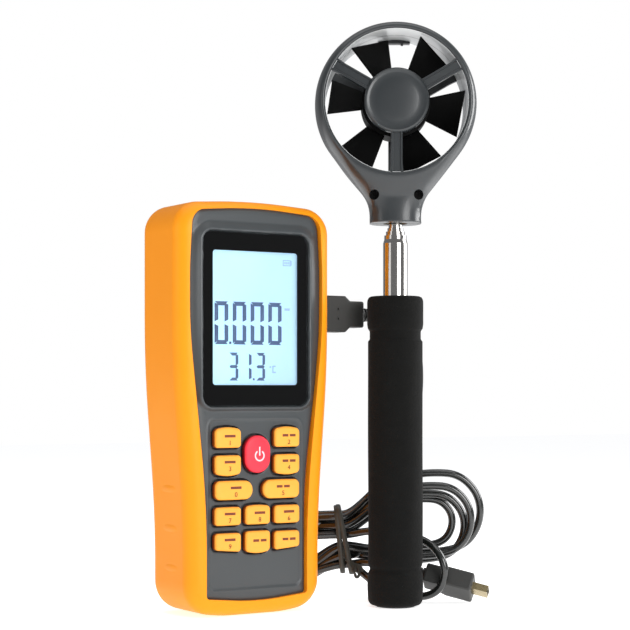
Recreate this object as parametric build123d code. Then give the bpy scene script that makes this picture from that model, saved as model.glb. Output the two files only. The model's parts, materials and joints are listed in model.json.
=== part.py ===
from build123d import *
import os
from math import cos, radians, sin, tan

# Vane anemometer: a hand meter, a telescopic fan probe and the lead that joins them.
# Millimetres. The meter's front faces -Y, +Z is up, and both stand on z = 0.
# The origin is under the middle of the whole object; meter parts are drawn about the
# meter's own centre and moved by PLACE when they are written.

# ---- driving dimensions: meter case ----
CASE_H, CASE_T = 163.6, 34.0
CASE_TOP_W, CASE_FOOT_W = 70.0, 60.8
CASE_WALL, CASE_ROUND = 2.4, 6.0
SEAM_Y = 11.0
FRONT_Y, BACK_Y = -CASE_T / 2, CASE_T / 2
WAIST_Z, SHOULDER_Z = 38.0, 98.0
GAP = 0.3

# ---- front panel, display and keys ----
PANEL_FRONT, PANEL_BACK = -16.2, -13.8
PANEL_FOOT_W, PANEL_TOP_W = 45.0, 59.6
LENS_W, LENS_H, LENS_Z = 47.6, 68.2, 116.5
WINDOW_W, WINDOW_H, WINDOW_Z = 38.4, 52.7, 117.0
LCD_W, LCD_H = 43.0, 58.0
BOARD_FRONT, BOARD_T = -9.6, 1.6
KEY_FRONT, KEY_TRAVEL = -17.5, 1.0
KEY_FLANGE = 0.4
COLUMN, ROW = 13.4, 10.1
ROW_1 = 69.7

# ---- battery bay ----
BATTERY = (26.5, 17.5, 48.5)
BAY_FOOT, BAY_TOP = 20.6, 77.6
BAY_HALF_W = 14.6
DOOR_T = 2.2

# ---- probe ----
PROBE_X, PROBE_Y, PROBE_YAW = 62.1, -22.3, -32.0
HANDLE_R, HANDLE_H = 11.2, 127.0
CORE_R = 8.0
HEAD_Z, HEAD_R, DUCT_R, HEAD_T = 205.5, 33.0, 29.0, 29.2
NECK_FOOT, NECK_R = 156.9, 10.55
HUB_R, ROTOR_HUB_R, BLADE_TIP = 13.1, 14.0, 27.2
BLADE_COUNT, BLADE_PITCH, BLADE_HALF_ANGLE, BLADE_START = 6, 45.0, 16.8, -7.4
STRUT_ANGLES = (-90.0, 30.0, 150.0)
STRUT_W = 4.7
TUBE_R = (5.0, 4.1, 3.4, 2.8)
TUBE_WALL = 0.4
SLIDE_FIT = 0.05

# ---- lead ----
LEAD_D = 3.3
SOCKET_Y, SOCKET_Z = -4.6, 120.0
PLUG_LEN, PLUG_TAPER, PLUG_NECK = 11.6, 2.4, 6.7
PLUG_W, PLUG_NECK_W, PLUG_T = 15.0, 10.9, 8.0
SHELL_W, SHELL_T, SHELL_LEN = 6.8, 3.0, 6.4
RELIEF_LEN, RELIEF_R = 8.0, 3.2

# The middle of the whole object's box, seen from the meter's centre.
CENTRE_X, CENTRE_Y = 31.41, -17.58
PLACE = Pos(-CENTRE_X, -CENTRE_Y, 0)

NODES = {}


def slab(sketch, y_front, y_back):
    """Extrude a sketch drawn in X and Z from y_front back to y_back."""
    plane = Plane(origin=(0, y_back, 0), x_dir=(1, 0, 0), z_dir=(0, -1, 0))
    return extrude(plane * sketch, amount=y_back - y_front)


def outline(points, radii):
    """A closed outline in X and Z with one fillet radius for each corner."""
    return make_face(FilletPolyline(*points, radius=radii, close=True))


def rounded(x, z, w, h, r):
    """A rounded rectangle about (x, z)."""
    return Pos(x, z) * RectangleRounded(w, h, r)


def along_y(x, z, r, y0, y1):
    """A cylinder along Y."""
    return slab(Pos(x, z) * Circle(r), y0, y1)


def upright(r, z0, z1, x=0.0, y=0.0):
    """A cylinder along Z."""
    return Pos(x, y, (z0 + z1) / 2) * Cylinder(r, z1 - z0)


def block(x0, x1, y0, y1, z0, z1):
    """A box given by its limits."""
    size = (x1 - x0, y1 - y0, z1 - z0)
    return Pos((x0 + x1) / 2, (y0 + y1) / 2, (z0 + z1) / 2) * Box(*size)


def keep(name, shape):
    """Put a finished piece, in the meter's coordinates, in the row frame."""
    NODES[name] = PLACE * shape


def case_outline(inset=0.0):
    """The meter's front view: a foot that lifts at its corners, slow swell to the shoulders, crowned top."""
    foot, top, high = CASE_FOOT_W / 2 - inset, CASE_TOP_W / 2 - inset, CASE_H - inset
    right = [(14.0, inset), (foot, 2.4 + inset), (foot, WAIST_Z), (top, SHOULDER_Z), (top, high - 2.2)]
    left = [(-x, z) for x, z in reversed(right)]
    side = [60.0, 12.0 - inset, 500.0, 500.0, 11.0 - inset]
    return outline(right + [(0, high)] + left, side + [250.0] + side[::-1])


def panel_outline(grow=0.0):
    """The grey front panel: narrow at the keys, wide at the display."""
    foot, top = PANEL_FOOT_W / 2 + grow, PANEL_TOP_W / 2 + grow
    right = [(foot, 7.8 - grow), (foot, 44.0), (top, 112.0), (top, 138.0), (top - 1.2, 158.2 + grow)]
    left = [(-x, z) for x, z in reversed(right)]
    side = [1.5, 400.0, 200.0, 200.0, 6.5]
    return outline(right + [(0, 160.4 + grow)] + left + [(0, 5.6 - grow)], side + [180.0] + side[::-1] + [110.0])


class Key:
    """One key cap: place, size, corner radii and how far each edge bows out."""

    def __init__(self, name, column, row, w=11.6, h=7.2, corner=2.0, ends=None, bow=(0.0, 0.0), foot=(0.0, 0.0)):
        self.name, self.x, self.z = name, column * COLUMN, ROW_1 - row * ROW
        self.w, self.h, self.bow, self.foot = w, h, bow, foot
        self.left, self.right = ends or (corner, corner)

    def face(self, grow=0.0):
        """The cap's outline; bow lifts the middle of the top or bottom edge."""
        w, h = self.w / 2 + grow, self.h / 2 + grow
        x, z, left, right = self.x, self.z, self.left + grow, self.right + grow
        points = [(x - w, z - h - self.foot[0]), (x + w, z - h - self.foot[1]), (x + w, z + h), (x - w, z + h)]
        radii = [left, right, right, left]
        if self.bow[0]:
            points.insert(3, (x, z + h + self.bow[0]))
            radii.insert(3, 14.0)
        if self.bow[1]:
            points.insert(1, (x, z - h - self.bow[1]))
            radii.insert(1, 14.0)
        return outline(points, radii)


KEYS = [
    Key("key_hold", -1, 0, bow=(0.9, 0.0)),
    Key("key_extremes", 1, 0, bow=(0.9, 0.0)),
    Key("key_unit", -1, 1, bow=(0.0, 0.9)),
    Key("key_flow", 1, 1, bow=(0.0, 0.9)),
    Key("key_light", -0.8, 2, w=16.8, h=7.5, ends=(2.4, 3.6)),
    Key("key_scale", 0.8, 2, w=16.8, h=7.5, ends=(3.6, 2.4)),
    Key("key_read", -1, 3),
    Key("key_setup", 0, 3, w=11.2, bow=(0.5, 0.0)),
    Key("key_record", 1, 3),
    Key("key_start", -1, 4, h=7.0, foot=(-0.5, 0.5)),
    Key("key_sample", 0, 4, w=11.2, h=7.9, bow=(0.0, 0.9)),
    Key("key_enter", 1, 4, h=7.0, foot=(0.5, -0.5)),
    Key("key_power", 0, 0.62, w=11.6, h=14.8, corner=5.7),
]


# ---- meter case ----
body = slab(case_outline(), FRONT_Y, BACK_Y)
rims = body.faces().sort_by(Axis.Y)
body = fillet(rims[0].edges() + rims[-1].edges(), CASE_ROUND)
LEDGE_BACK = PANEL_BACK + 1.5
boss_places = [(30.0, 147.0), (-30.0, 147.0), (25.6, 16.0), (-25.6, 16.0)]
front = body & block(-50, 50, FRONT_Y - 1, SEAM_Y, -1, CASE_H + 1)
front -= slab(case_outline(CASE_WALL), LEDGE_BACK, SEAM_Y)
front -= slab(panel_outline(-2.0), FRONT_Y - 1, LEDGE_BACK)
front -= slab(panel_outline(GAP), FRONT_Y - 1, PANEL_BACK)
for x, z in boss_places:
    boss = along_y(x, z, 3.0, LEDGE_BACK, SEAM_Y) & body
    front = front + boss
    front -= along_y(x, z, 1.2, -4.0, SEAM_Y)
socket_hole = block(25, 40, SOCKET_Y - 2.2, SOCKET_Y + 2.2, SOCKET_Z - 4.1, SOCKET_Z + 4.1)
front -= socket_hole
keep("case_front", front)

rear = body & block(-50, 50, SEAM_Y, BACK_Y + 1, -1, CASE_H + 1)
REAR_INNER = BACK_Y - CASE_WALL
rear -= slab(case_outline(CASE_WALL), SEAM_Y - 1, REAR_INNER)
bay = block(-BAY_HALF_W - 1.4, BAY_HALF_W + 1.4, -6.2, REAR_INNER, BAY_FOOT - 1.4, BAY_TOP + 1.4)
rear += bay
rear -= block(-BAY_HALF_W, BAY_HALF_W, -5.0, BACK_Y + 1, BAY_FOOT, BAY_TOP)
rear -= slab(rounded(0, (BAY_FOOT + BAY_TOP) / 2, 2 * BAY_HALF_W + 2.0, BAY_TOP - BAY_FOOT + 2.0, 1.5),
             REAR_INNER, BACK_Y + 1)
for x, z in boss_places:
    rear += along_y(x, z, 3.4, SEAM_Y, REAR_INNER) & body
    rear -= along_y(x, z, 1.5, SEAM_Y - 1, BACK_Y + 1)
    rear -= along_y(x, z, 2.8, 13.0, BACK_Y + 1)
keep("case_rear", rear)

screws = []
for x, z in boss_places:
    screw = along_y(x, z, 2.6, 13.0, 14.6) + along_y(x, z, 1.15, -2.0, 13.0)
    screw -= slab(Pos(x, z) * (Rectangle(2.8, 0.6) + Rectangle(0.6, 2.8)), 13.8, 15.0)
    screws.append(screw)
keep("case_screws", Compound(children=screws))

door_z = (BAY_FOOT + BAY_TOP) / 2
door = slab(rounded(0, door_z, 2 * BAY_HALF_W + 1.4, BAY_TOP - BAY_FOOT + 1.4, 1.2), BACK_Y - DOOR_T, BACK_Y)
door_foot = BAY_FOOT - 0.7
HINGE_Y, HINGE_Z = BACK_Y - DOOR_T / 2, door_foot + DOOR_T / 2
door -= block(-20, 20, BACK_Y - DOOR_T - 1, BACK_Y + 1, door_foot - 1, HINGE_Z)
door += Pos(0, HINGE_Y, HINGE_Z) * Rot(0, 90, 0) * Cylinder(DOOR_T / 2, 2 * BAY_HALF_W - 1.6)
for step in range(4):
    door -= block(-6, 6, BACK_Y - 0.6, BACK_Y + 1, 64.0 + 2.4 * step, 65.2 + 2.4 * step)
keep("battery_door", door)

# ---- display stack ----
panel = slab(panel_outline(), PANEL_FRONT, PANEL_BACK)
panel -= slab(rounded(0, LENS_Z, LENS_W + 0.2, LENS_H + 0.2, 4.2), PANEL_FRONT - 1, -14.6)
panel -= slab(rounded(0, WINDOW_Z, WINDOW_W + 2.6, WINDOW_H + 2.8, 1.5), PANEL_FRONT - 1, PANEL_BACK + 1)
for key in KEYS:
    panel -= slab(key.face(0.25), PANEL_FRONT - 1, PANEL_BACK + 1)
keep("front_panel", panel)

keep("display_lens", slab(rounded(0, LENS_Z, LENS_W, LENS_H, 4.0), -15.9, -14.8))
mask = slab(rounded(0, LENS_Z, LENS_W, LENS_H, 4.0), -14.8, -14.6)
mask -= slab(rounded(0, WINDOW_Z, WINDOW_W, WINDOW_H, 1.2), -15.0, -14.0)
keep("lens_mask", mask)
keep("lcd_glass", slab(rounded(0, WINDOW_Z, LCD_W, LCD_H, 0.5), -13.6, -12.0))
keep("lcd_backlight", slab(rounded(0, WINDOW_Z, LCD_W, LCD_H, 1.0), -12.0, BOARD_FRONT))
board = slab(rounded(0, 80.5, 44.0, 141.0, 2.0), BOARD_FRONT, BOARD_FRONT + BOARD_T)
for x, z in [(19.5, 84.0), (-19.5, 84.0), (19.5, 13.0), (-19.5, 13.0)]:
    board -= along_y(x, z, 1.2, BOARD_FRONT - 1, BOARD_FRONT + BOARD_T + 1)
keep("main_board", board)
BOARD_BACK = BOARD_FRONT + BOARD_T
chips = [block(-7, 7, BOARD_BACK, BOARD_BACK + 1.4, 100, 114),
         block(-17, -11, BOARD_BACK, BOARD_BACK + 1.2, 104, 112),
         block(10, 15, BOARD_BACK, BOARD_BACK + 1.2, 98, 108)]
keep("board_chips", Compound(children=chips))
keep("buzzer", along_y(-10, 132, 6.0, BOARD_BACK, BOARD_BACK + 5) - along_y(-10, 132, 0.9, BOARD_BACK + 4, 9))
domes = [along_y(key.x, key.z, 2.5, BOARD_FRONT - 0.5, BOARD_FRONT) for key in KEYS]
keep("key_domes", Compound(children=domes))

# ---- keys: cap, flange behind the panel, plunger over its dome ----
for key in KEYS:
    cap = slab(key.face(), KEY_FRONT, PANEL_BACK + 0.2)
    top = cap.faces().sort_by(Axis.Y)[0]
    cap = fillet(top.edges(), 0.7)
    cap += slab(key.face(KEY_FLANGE), PANEL_BACK + 0.2, PANEL_BACK + 1.0)
    cap += along_y(key.x, key.z, 1.6, PANEL_BACK + 1.0, BOARD_FRONT - 0.5 - KEY_TRAVEL - 0.1)
    keep(key.name, cap)

# ---- battery ----
BW, BT, BH = BATTERY
cell_foot, cell_back = BAY_FOOT + 1.0, 12.9
cell = block(-BW / 2, BW / 2, cell_back - BT, cell_back, cell_foot, cell_foot + BH)
cell = fillet(cell.edges().filter_by(Axis.Z), 2.0)
cell_mid = cell_back - BT / 2
cell += upright(3.0, cell_foot + BH, cell_foot + BH + 2.0, -6.4, cell_mid)
cell += upright(2.6, cell_foot + BH, cell_foot + BH + 2.0, 6.4, cell_mid)
keep("battery_9v", cell)
snap_foot = cell_foot + BH + 2.0
snap = block(-12.5, 12.5, cell_mid - 6, cell_mid + 6, snap_foot, snap_foot + 2.6)
keep("battery_snap", fillet(snap.edges().filter_by(Axis.Z), 4.0))

# ---- the meter's receptacle, standing on the back of the board ----
socket = block(25.6, 32.4, BOARD_BACK, SOCKET_Y + 2.0, SOCKET_Z - 3.9, SOCKET_Z + 3.9)
socket += block(20.0, 27.0, BOARD_BACK, BOARD_BACK + 1.0, SOCKET_Z - 3.9, SOCKET_Z + 3.9)
socket -= block(27.0, 35.0, SOCKET_Y - 1.6, SOCKET_Y + 1.6, SOCKET_Z - 3.5, SOCKET_Z + 3.5)
keep("meter_socket", socket)


# ---- plugs: the nose points to -X, the lead leaves along +X ----
def plug_pieces():
    """Body, metal shell and strain relief of one plug, its mating face at x = 0."""
    half, neck = PLUG_W / 2, PLUG_NECK_W / 2
    neck_x, tail_x = PLUG_LEN + PLUG_TAPER, PLUG_LEN + PLUG_TAPER + PLUG_NECK
    profile = [(0, -half), (PLUG_LEN, -half), (neck_x, -neck), (tail_x, -neck),
               (tail_x, neck), (neck_x, neck), (PLUG_LEN, half), (0, half)]
    moulding = slab(make_face(Polyline(*profile, close=True)), -PLUG_T / 2, PLUG_T / 2)
    moulding = fillet(moulding.edges(), 0.9)
    for z in (-2.0, 2.0):
        moulding -= along_y(PLUG_LEN - 4.0, z, 0.5, -PLUG_T, -PLUG_T / 2 + 0.5)
    shell = block(-SHELL_LEN, 0, -SHELL_T / 2, SHELL_T / 2, -SHELL_W / 2, SHELL_W / 2)
    shell -= block(-SHELL_LEN - 1, -1.0, -SHELL_T / 2 + 0.4, SHELL_T / 2 - 0.4, -SHELL_W / 2 + 0.4, SHELL_W / 2 - 0.4)
    shell += block(-SHELL_LEN + 0.6, -1.0, -0.3, 0.3, -2.4, 2.4)
    relief = Pos(tail_x + RELIEF_LEN / 2, 0, 0) * Rot(0, 90, 0) * Cone(RELIEF_R, LEAD_D / 2 + 0.4, RELIEF_LEN)
    for groove in (1.6, 3.4, 5.2):
        ring = Pos(tail_x + groove, 0, 0) * Rot(0, 90, 0) * (Cylinder(6, 0.7) - Cylinder(2.1, 0.7))
        relief -= ring
    return {"body": moulding, "shell": shell, "relief": relief}


PLUG_TAIL = PLUG_LEN + PLUG_TAPER + PLUG_NECK + RELIEF_LEN
meter_plug = Pos(CASE_TOP_W / 2 + 0.3, SOCKET_Y, SOCKET_Z)
for piece, shape in plug_pieces().items():
    keep(f"plug_meter_{piece}", meter_plug * shape)


# ---- probe: drawn upright about its own axis, then turned and moved beside the meter ----
def probe(name, shape):
    """Place a piece drawn about the probe's own axis, its fan facing -Y."""
    keep(name, Pos(PROBE_X, PROBE_Y, 0) * Rot(0, 0, PROBE_YAW) * shape)


def turned(profile):
    """Revolve an (r, z) profile about the probe's axis."""
    plane = Plane.XZ
    return revolve(plane * make_face(Polyline(*profile, close=True)), axis=Axis.Z)


bore_r = TUBE_R[0] + 0.02
core = upright(CORE_R, 4.0, HANDLE_H - 0.5) - upright(bore_r, 3.0, HANDLE_H + 1)
probe("handle_core", core)
grip = turned([(CORE_R + 0.02, 0.5), (9.6, 0.5), (11.2, 2.6), (11.5, 12.0), (11.1, 13.6), (10.5, 14.4), (10.5, 16.6),
               (HANDLE_R, 17.6), (HANDLE_R, 108.4), (10.6, 109.4), (10.6, 112.8), (11.4, 114.4), (11.6, 118.0),
               (11.4, 125.2), (10.2, HANDLE_H), (CORE_R + 0.02, HANDLE_H)])
probe("foam_grip", grip)
cap = upright(CORE_R, 0, 4.0) + upright(bore_r - 0.04, 4.0, 11.0)
cap -= block(-4.3, 4.3, -2.4, 2.4, -1, 9.0)
probe("handle_end_cap", cap)
inlet = block(-4.2, 4.2, -2.3, 2.3, 0.6, 8.9) - block(-3.5, 3.5, -1.6, 1.6, -1, 7.4)
probe("handle_socket", inlet)


def stage(r, foot, top, flare, throat):
    """A thin tube, flared at its foot to guide in the tube around it, crimped at its top."""
    inner, slope = r - TUBE_WALL, 1.2
    outside = [(flare, foot), (flare, foot + 6), (r, foot + 6 + slope), (r, top - 3.2), (throat + TUBE_WALL, top - 1.6),
               (throat + TUBE_WALL, top)]
    inside = [(throat, top), (throat, top - 1.9), (inner, top - 3.6), (inner, foot)]
    return turned(outside + inside)


stage_feet, stage_tops = (12.0, 16.0, 20.0), (152.0, 153.6, 155.0)
for number in range(3):
    outer = TUBE_R[number - 1] - TUBE_WALL - SLIDE_FIT if number else TUBE_R[0]
    throat = TUBE_R[number + 1] + SLIDE_FIT
    probe(f"rod_tube_{number + 1}", stage(TUBE_R[number], stage_feet[number], stage_tops[number], outer, throat))
last, guide = TUBE_R[3], TUBE_R[2] - TUBE_WALL - SLIDE_FIT
tip = turned([(guide, 24.0), (guide, 30.0), (last, 31.0), (last, 170.6), (4.0, 170.6), (4.0, 172.0),
              (last - TUBE_WALL, 172.0), (last - TUBE_WALL, 24.0)])
probe("rod_tube_4", tip)
ferrule = upright(5.0, 157.4, 170.2) - upright(last + SLIDE_FIT, 150, 180)
probe("rod_ferrule", ferrule)


# ---- fan head ----
def head_outline():
    """The head's front view: a ring whose sides run down tangent lines into a round neck."""
    lean = radians(38.0)
    side_x, side_z = HEAD_R * cos(lean), HEAD_Z - HEAD_R * sin(lean)
    bend_z = side_z - (side_x - NECK_R) / tan(lean)
    points = [(NECK_R, NECK_FOOT), (NECK_R, bend_z), (side_x, side_z)]
    points += [(-x, z) for x, z in reversed(points)]
    neck = outline(points, [0.5, 16.0, 0.0, 0.0, 16.0, 0.5])
    return neck + Pos(0, HEAD_Z) * Circle(HEAD_R)


head = slab(head_outline(), -HEAD_T / 2, HEAD_T / 2)
side = [(-HEAD_T / 2, 250.0), (-HEAD_T / 2, 189.0), (-NECK_R, 168.0), (-NECK_R, NECK_FOOT - 1),
        (NECK_R, NECK_FOOT - 1), (NECK_R, 168.0), (HEAD_T / 2, 189.0), (HEAD_T / 2, 250.0)]
head &= extrude(Plane.YZ * make_face(Polyline(*side, close=True)), amount=50, both=True)
head -= along_y(0, HEAD_Z, DUCT_R, -20, 20)
head -= upright(5.02, NECK_FOOT - 1, 170.4)
head -= upright(4.6, 170.0, 174.0)
STRUT_FRONT, STRUT_BACK, HUB_BACK = -14.0, -10.6, -9.4


def hub(sign):
    """One hub cap with its three struts; sign is -1 for the front one."""
    near, far = sorted((sign * (HEAD_T / 2 + 0.2), sign * abs(HUB_BACK)))
    shape = along_y(0, HEAD_Z, HUB_R, near, far)
    rim = shape.faces().sort_by(Axis.Y)[0 if sign < 0 else -1]
    shape = fillet(rim.edges(), 1.2)
    near, far = sorted((sign * abs(STRUT_FRONT), sign * abs(STRUT_BACK)))
    for angle in STRUT_ANGLES:
        bar = block(HUB_R - 2, DUCT_R + 1.5, near, far, -STRUT_W / 2, STRUT_W / 2)
        shape += Pos(0, 0, HEAD_Z) * Rot(0, -angle, 0) * bar
    pocket = sorted((sign * 8.0, sign * 12.0))
    return shape - along_y(0, HEAD_Z, 2.5, *pocket)


screw_places = [(9.0, 167.8), (-9.0, 167.8)]
front_half = (head & block(-60, 60, -30, 0, 100, 300)) + hub(-1)
rear_half = (head & block(-60, 60, 0, 30, 100, 300)) + hub(1)
head_screws = []
for x, z in screw_places:
    front_half -= along_y(x, z, 2.0, -20, -5.0)
    front_half -= along_y(x, z, 1.1, -6, 1)
    rear_half -= along_y(x, z, 0.9, -1, 7.0)
    screw = along_y(x, z, 1.8, -6.4, -5.0) + along_y(x, z, 0.85, -5.0, 6.4)
    head_screws.append(screw - slab(Pos(x, z) * (Rectangle(2.2, 0.5) + Rectangle(0.5, 2.2)), -7, -5.8))
probe("head_front", front_half)
probe("head_rear", rear_half)
probe("head_screws", Compound(children=head_screws))

SHAFT_R = 1.0
for name, sign in (("bearing_front", -1), ("bearing_rear", 1)):
    ring = along_y(0, HEAD_Z, 2.45, *sorted((sign * 9.4, sign * 12.0)))
    probe(name, ring - along_y(0, HEAD_Z, SHAFT_R + SLIDE_FIT, -20, 20))
probe("rotor_shaft", along_y(0, HEAD_Z, SHAFT_R, -11.8, 11.8))
rotor = along_y(0, HEAD_Z, ROTOR_HUB_R, -7.0, 7.0) - along_y(0, HEAD_Z, ROTOR_HUB_R - 1.4, -8.0, 5.0)
rotor += along_y(0, HEAD_Z, 3.0, -6.0, 6.0)
tip_half = BLADE_TIP * tan(radians(BLADE_HALF_ANGLE)) / cos(radians(BLADE_PITCH))
root_half = tip_half * (ROTOR_HUB_R - 0.6) / BLADE_TIP
for number in range(BLADE_COUNT):
    plate = make_face(Polyline((ROTOR_HUB_R - 0.6, -root_half), (BLADE_TIP, -tip_half), (BLADE_TIP, tip_half),
                               (ROTOR_HUB_R - 0.6, root_half), close=True))
    blade = Rot(BLADE_PITCH, 0, 0) * slab(plate, -0.4, 0.4)
    rotor += Pos(0, 0, HEAD_Z) * Rot(0, -(BLADE_START + 60.0 * number), 0) * blade
rotor -= along_y(0, HEAD_Z, SHAFT_R + 0.01, -20, 20)
probe("vane_rotor", rotor)
probe("rotor_magnet", along_y(0, HEAD_Z, 6.5, -2.0, 2.0) - along_y(0, HEAD_Z, 3.02, -3, 3))
sensor = block(3.5, 9.5, 8.0, 9.4, HEAD_Z - 2, HEAD_Z + 2)
probe("flow_sensor", sensor)
holder = block(-6.5, 6.5, 9.4, 12.6, HEAD_Z + 27.3, HEAD_Z + 30) & along_y(0, HEAD_Z, DUCT_R, 0, 20)
for x in (-3.8, 3.2):
    holder += block(x - 0.5, x + 0.5, 9.8, 11.0, HEAD_Z + 26.6, HEAD_Z + 27.3)
probe("temperature_sensor", holder)


# ---- lead ----
def beside(across, behind, z):
    """A point in the probe's heading: across to the right and behind, from the meter's centre."""
    yaw = radians(PROBE_YAW)
    return Vector(across * cos(yaw) - behind * sin(yaw), across * sin(yaw) + behind * cos(yaw), z)


def lead_tube(name, points):
    """A tube of straight runs and arcs, each arc as large as its two runs allow."""
    radii = []
    for before, corner, after in zip(points, points[1:], points[2:]):
        turn = (corner - before).get_angle(after - corner)
        shorter = min((corner - before).length, (after - corner).length)
        radii.append(0.45 * shorter / tan(radians(turn / 2)))
    path = FilletPolyline(*points, radius=radii)
    start = Plane(origin=path @ 0, z_dir=path % 0)
    tube = sweep(start * Circle(LEAD_D / 2), path=path)
    ideal = 3.14159265 * LEAD_D ** 2 / 4 * path.length
    print(name, "length", round(path.length, 1), "volume", round(tube.volume / ideal, 4),
          "radii", [round(r, 1) for r in radii])
    keep(name, tube)


# The free plug lies right of the handle, nose down and turned a little forward.
plug_tip, plug_tail = beside(104.0, 22.5, 4.6), beside(70.4, 31.5, 12.7)
plug_axis = (plug_tail - plug_tip).normalized()
nose = plug_tail - plug_axis * PLUG_TAIL
side_dir = plug_axis.cross(Vector(0, 0, 1)).normalized()
plug_plane = Plane(origin=nose, x_dir=plug_axis, z_dir=plug_axis.cross(side_dir) * -1)
free_plug = plug_plane.location * Rot(-62, 0, 0)
for piece, shape in plug_pieces().items():
    keep(f"plug_free_{piece}", free_plug * shape)

exit_x = CASE_TOP_W / 2 + 0.3 + PLUG_TAIL
upper_route = [Vector(exit_x, SOCKET_Y, SOCKET_Z), Vector(exit_x + 9, SOCKET_Y, SOCKET_Z),
               beside(73.0, 42.5, 113.5), beside(76.0, 45.0, 104.0), beside(76.5, 45.5, 90.0),
               beside(74.5, 44.5, 75.0), beside(70.0, 43.6, 62.0), beside(62.5, 43.0, 51.5), beside(56.0, 42.6, 42.6)]
lead_tube("lead_tube_upper", upper_route)

lower_route = [plug_tail, plug_tail + plug_axis * 7.0, beside(53.0, 38.0, 15.8)]
lead_tube("lead_tube_lower", lower_route)

HANK_NEAR, HANK_FAR, TIE_AT = 36.5, 50.0, 43.0
hank_side = [(-16, 6), (-8, 0.4), (34, 0.4), (37, 6), (50, 6), (60, 15), (88, 17), (104, 26), (104, 44), (94, 55.5),
             (80, 55.5), (50, 38), (36, 38), (-4, 36), (-16, 26)]


def hank_slab(points, near, far):
    """Extrude an (across, z) outline between two distances behind the meter's centre."""
    return Rot(0, 0, PROBE_YAW) * slab(make_face(Polyline(*points, close=True)), near, far)


hank = hank_slab(hank_side, HANK_NEAR, HANK_FAR)
hank += hank_slab([(30, 0.9), (78, 0.9), (85, 6), (85, 22), (58, 22)], 42.0, HANK_FAR - 1.0)
keep("lead_hank", hank)
ring_outer = [(TIE_AT - 2, 4.6), (TIE_AT + 2, 4.6), (TIE_AT + 2, 39.4), (TIE_AT - 2, 39.4)]
tie = hank_slab(ring_outer, HANK_NEAR - 1.4, HANK_FAR + 1.4)
tie -= hank_slab([(TIE_AT - 3, 5.9), (TIE_AT + 3, 5.9), (TIE_AT + 3, 38.1), (TIE_AT - 3, 38.1)],
                 HANK_NEAR - 0.1, HANK_FAR + 0.1)
keep("lead_tie", tie - hank)

os.makedirs("parts", exist_ok=True)
for name, shape in NODES.items():
    export_step(shape, f"parts/{name}.step")
whole = Compound(children=[Compound(children=[s]) for n, s in NODES.items() if not n.startswith(("lead", "plug_free"))])
box = whole.bounding_box()
print(len(NODES), "nodes; box without the lead", box.min, box.max)
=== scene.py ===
"""Vane anemometer: the finishes, shells, keys, display and lead built around the CAD frame.

Every piece is in metres in the row frame. The meter's own drawing is in millimetres about the
meter's centre, and the probe's is about the probe's axis; Place turns each into the row frame.
"""
import json
import logging
import math
from dataclasses import dataclass, field
from enum import Enum

import bmesh
import bpy
import numpy as np
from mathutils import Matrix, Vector

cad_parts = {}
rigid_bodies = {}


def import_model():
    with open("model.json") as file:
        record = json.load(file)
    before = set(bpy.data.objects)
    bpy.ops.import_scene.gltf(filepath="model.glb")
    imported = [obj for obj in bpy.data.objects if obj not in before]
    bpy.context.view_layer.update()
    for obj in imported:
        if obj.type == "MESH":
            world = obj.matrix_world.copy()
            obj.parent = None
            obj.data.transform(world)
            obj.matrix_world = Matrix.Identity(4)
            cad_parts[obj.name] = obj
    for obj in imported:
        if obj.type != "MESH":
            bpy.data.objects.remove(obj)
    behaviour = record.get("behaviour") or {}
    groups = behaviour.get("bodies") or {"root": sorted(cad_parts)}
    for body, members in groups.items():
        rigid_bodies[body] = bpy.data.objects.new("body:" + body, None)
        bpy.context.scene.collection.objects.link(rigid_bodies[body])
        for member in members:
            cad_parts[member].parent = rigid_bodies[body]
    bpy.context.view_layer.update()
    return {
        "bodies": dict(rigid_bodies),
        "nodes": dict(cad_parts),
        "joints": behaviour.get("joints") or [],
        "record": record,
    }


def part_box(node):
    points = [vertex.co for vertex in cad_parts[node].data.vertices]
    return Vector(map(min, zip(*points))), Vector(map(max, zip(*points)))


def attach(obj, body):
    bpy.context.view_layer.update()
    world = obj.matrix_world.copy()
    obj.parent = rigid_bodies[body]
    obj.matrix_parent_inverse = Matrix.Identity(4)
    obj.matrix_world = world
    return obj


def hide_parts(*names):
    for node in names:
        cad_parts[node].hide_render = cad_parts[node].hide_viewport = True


LOG = logging.getLogger("anemometer")
MM = 0.001
# The CAD nodes' objects by name, filled when the frame is loaded.
NODES: dict[str, bpy.types.Object] = {}


# ------------------------------------------------------------------ helpers
def linear(colour: str) -> tuple[float, float, float, float]:
    """Turn an sRGB hex colour into linear RGBA.

    Args:
        colour: six hex digits, with or without a leading hash.
    Returns:
        Linear red, green, blue and an alpha of one.
    """
    digits = colour.lstrip("#")
    srgb = [int(digits[i:i + 2], 16) / 255 for i in (0, 2, 4)]
    return tuple(c / 12.92 if c <= 0.04045 else ((c + 0.055) / 1.055) ** 2.4 for c in srgb) + (1.0,)


def add_node(tree: bpy.types.NodeTree, kind: str, settings: dict, **links) -> bpy.types.Node:
    """Add one shader node.

    Args:
        tree: the material's node tree.
        kind: the node's type name.
        settings: input socket values by socket name, or node attributes by attribute name.
        links: output sockets to plug into inputs, with underscores for spaces.
    Returns:
        The new node.
    """
    node = tree.nodes.new(kind)
    for key, value in settings.items():
        if hasattr(node, key):
            setattr(node, key, value)
        else:
            node.inputs[key].default_value = value
    for key, socket in links.items():
        tree.links.new(socket, node.inputs[key.replace("_", " ")])
    return node


def smooth(low: float, high: float, value: np.ndarray) -> np.ndarray:
    """Smooth step from 0 at low to 1 at high: 3t^2 - 2t^3 of the clipped ratio."""
    t = np.clip((value - low) / (high - low), 0.0, 1.0)
    return t * t * (3 - 2 * t)


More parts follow.
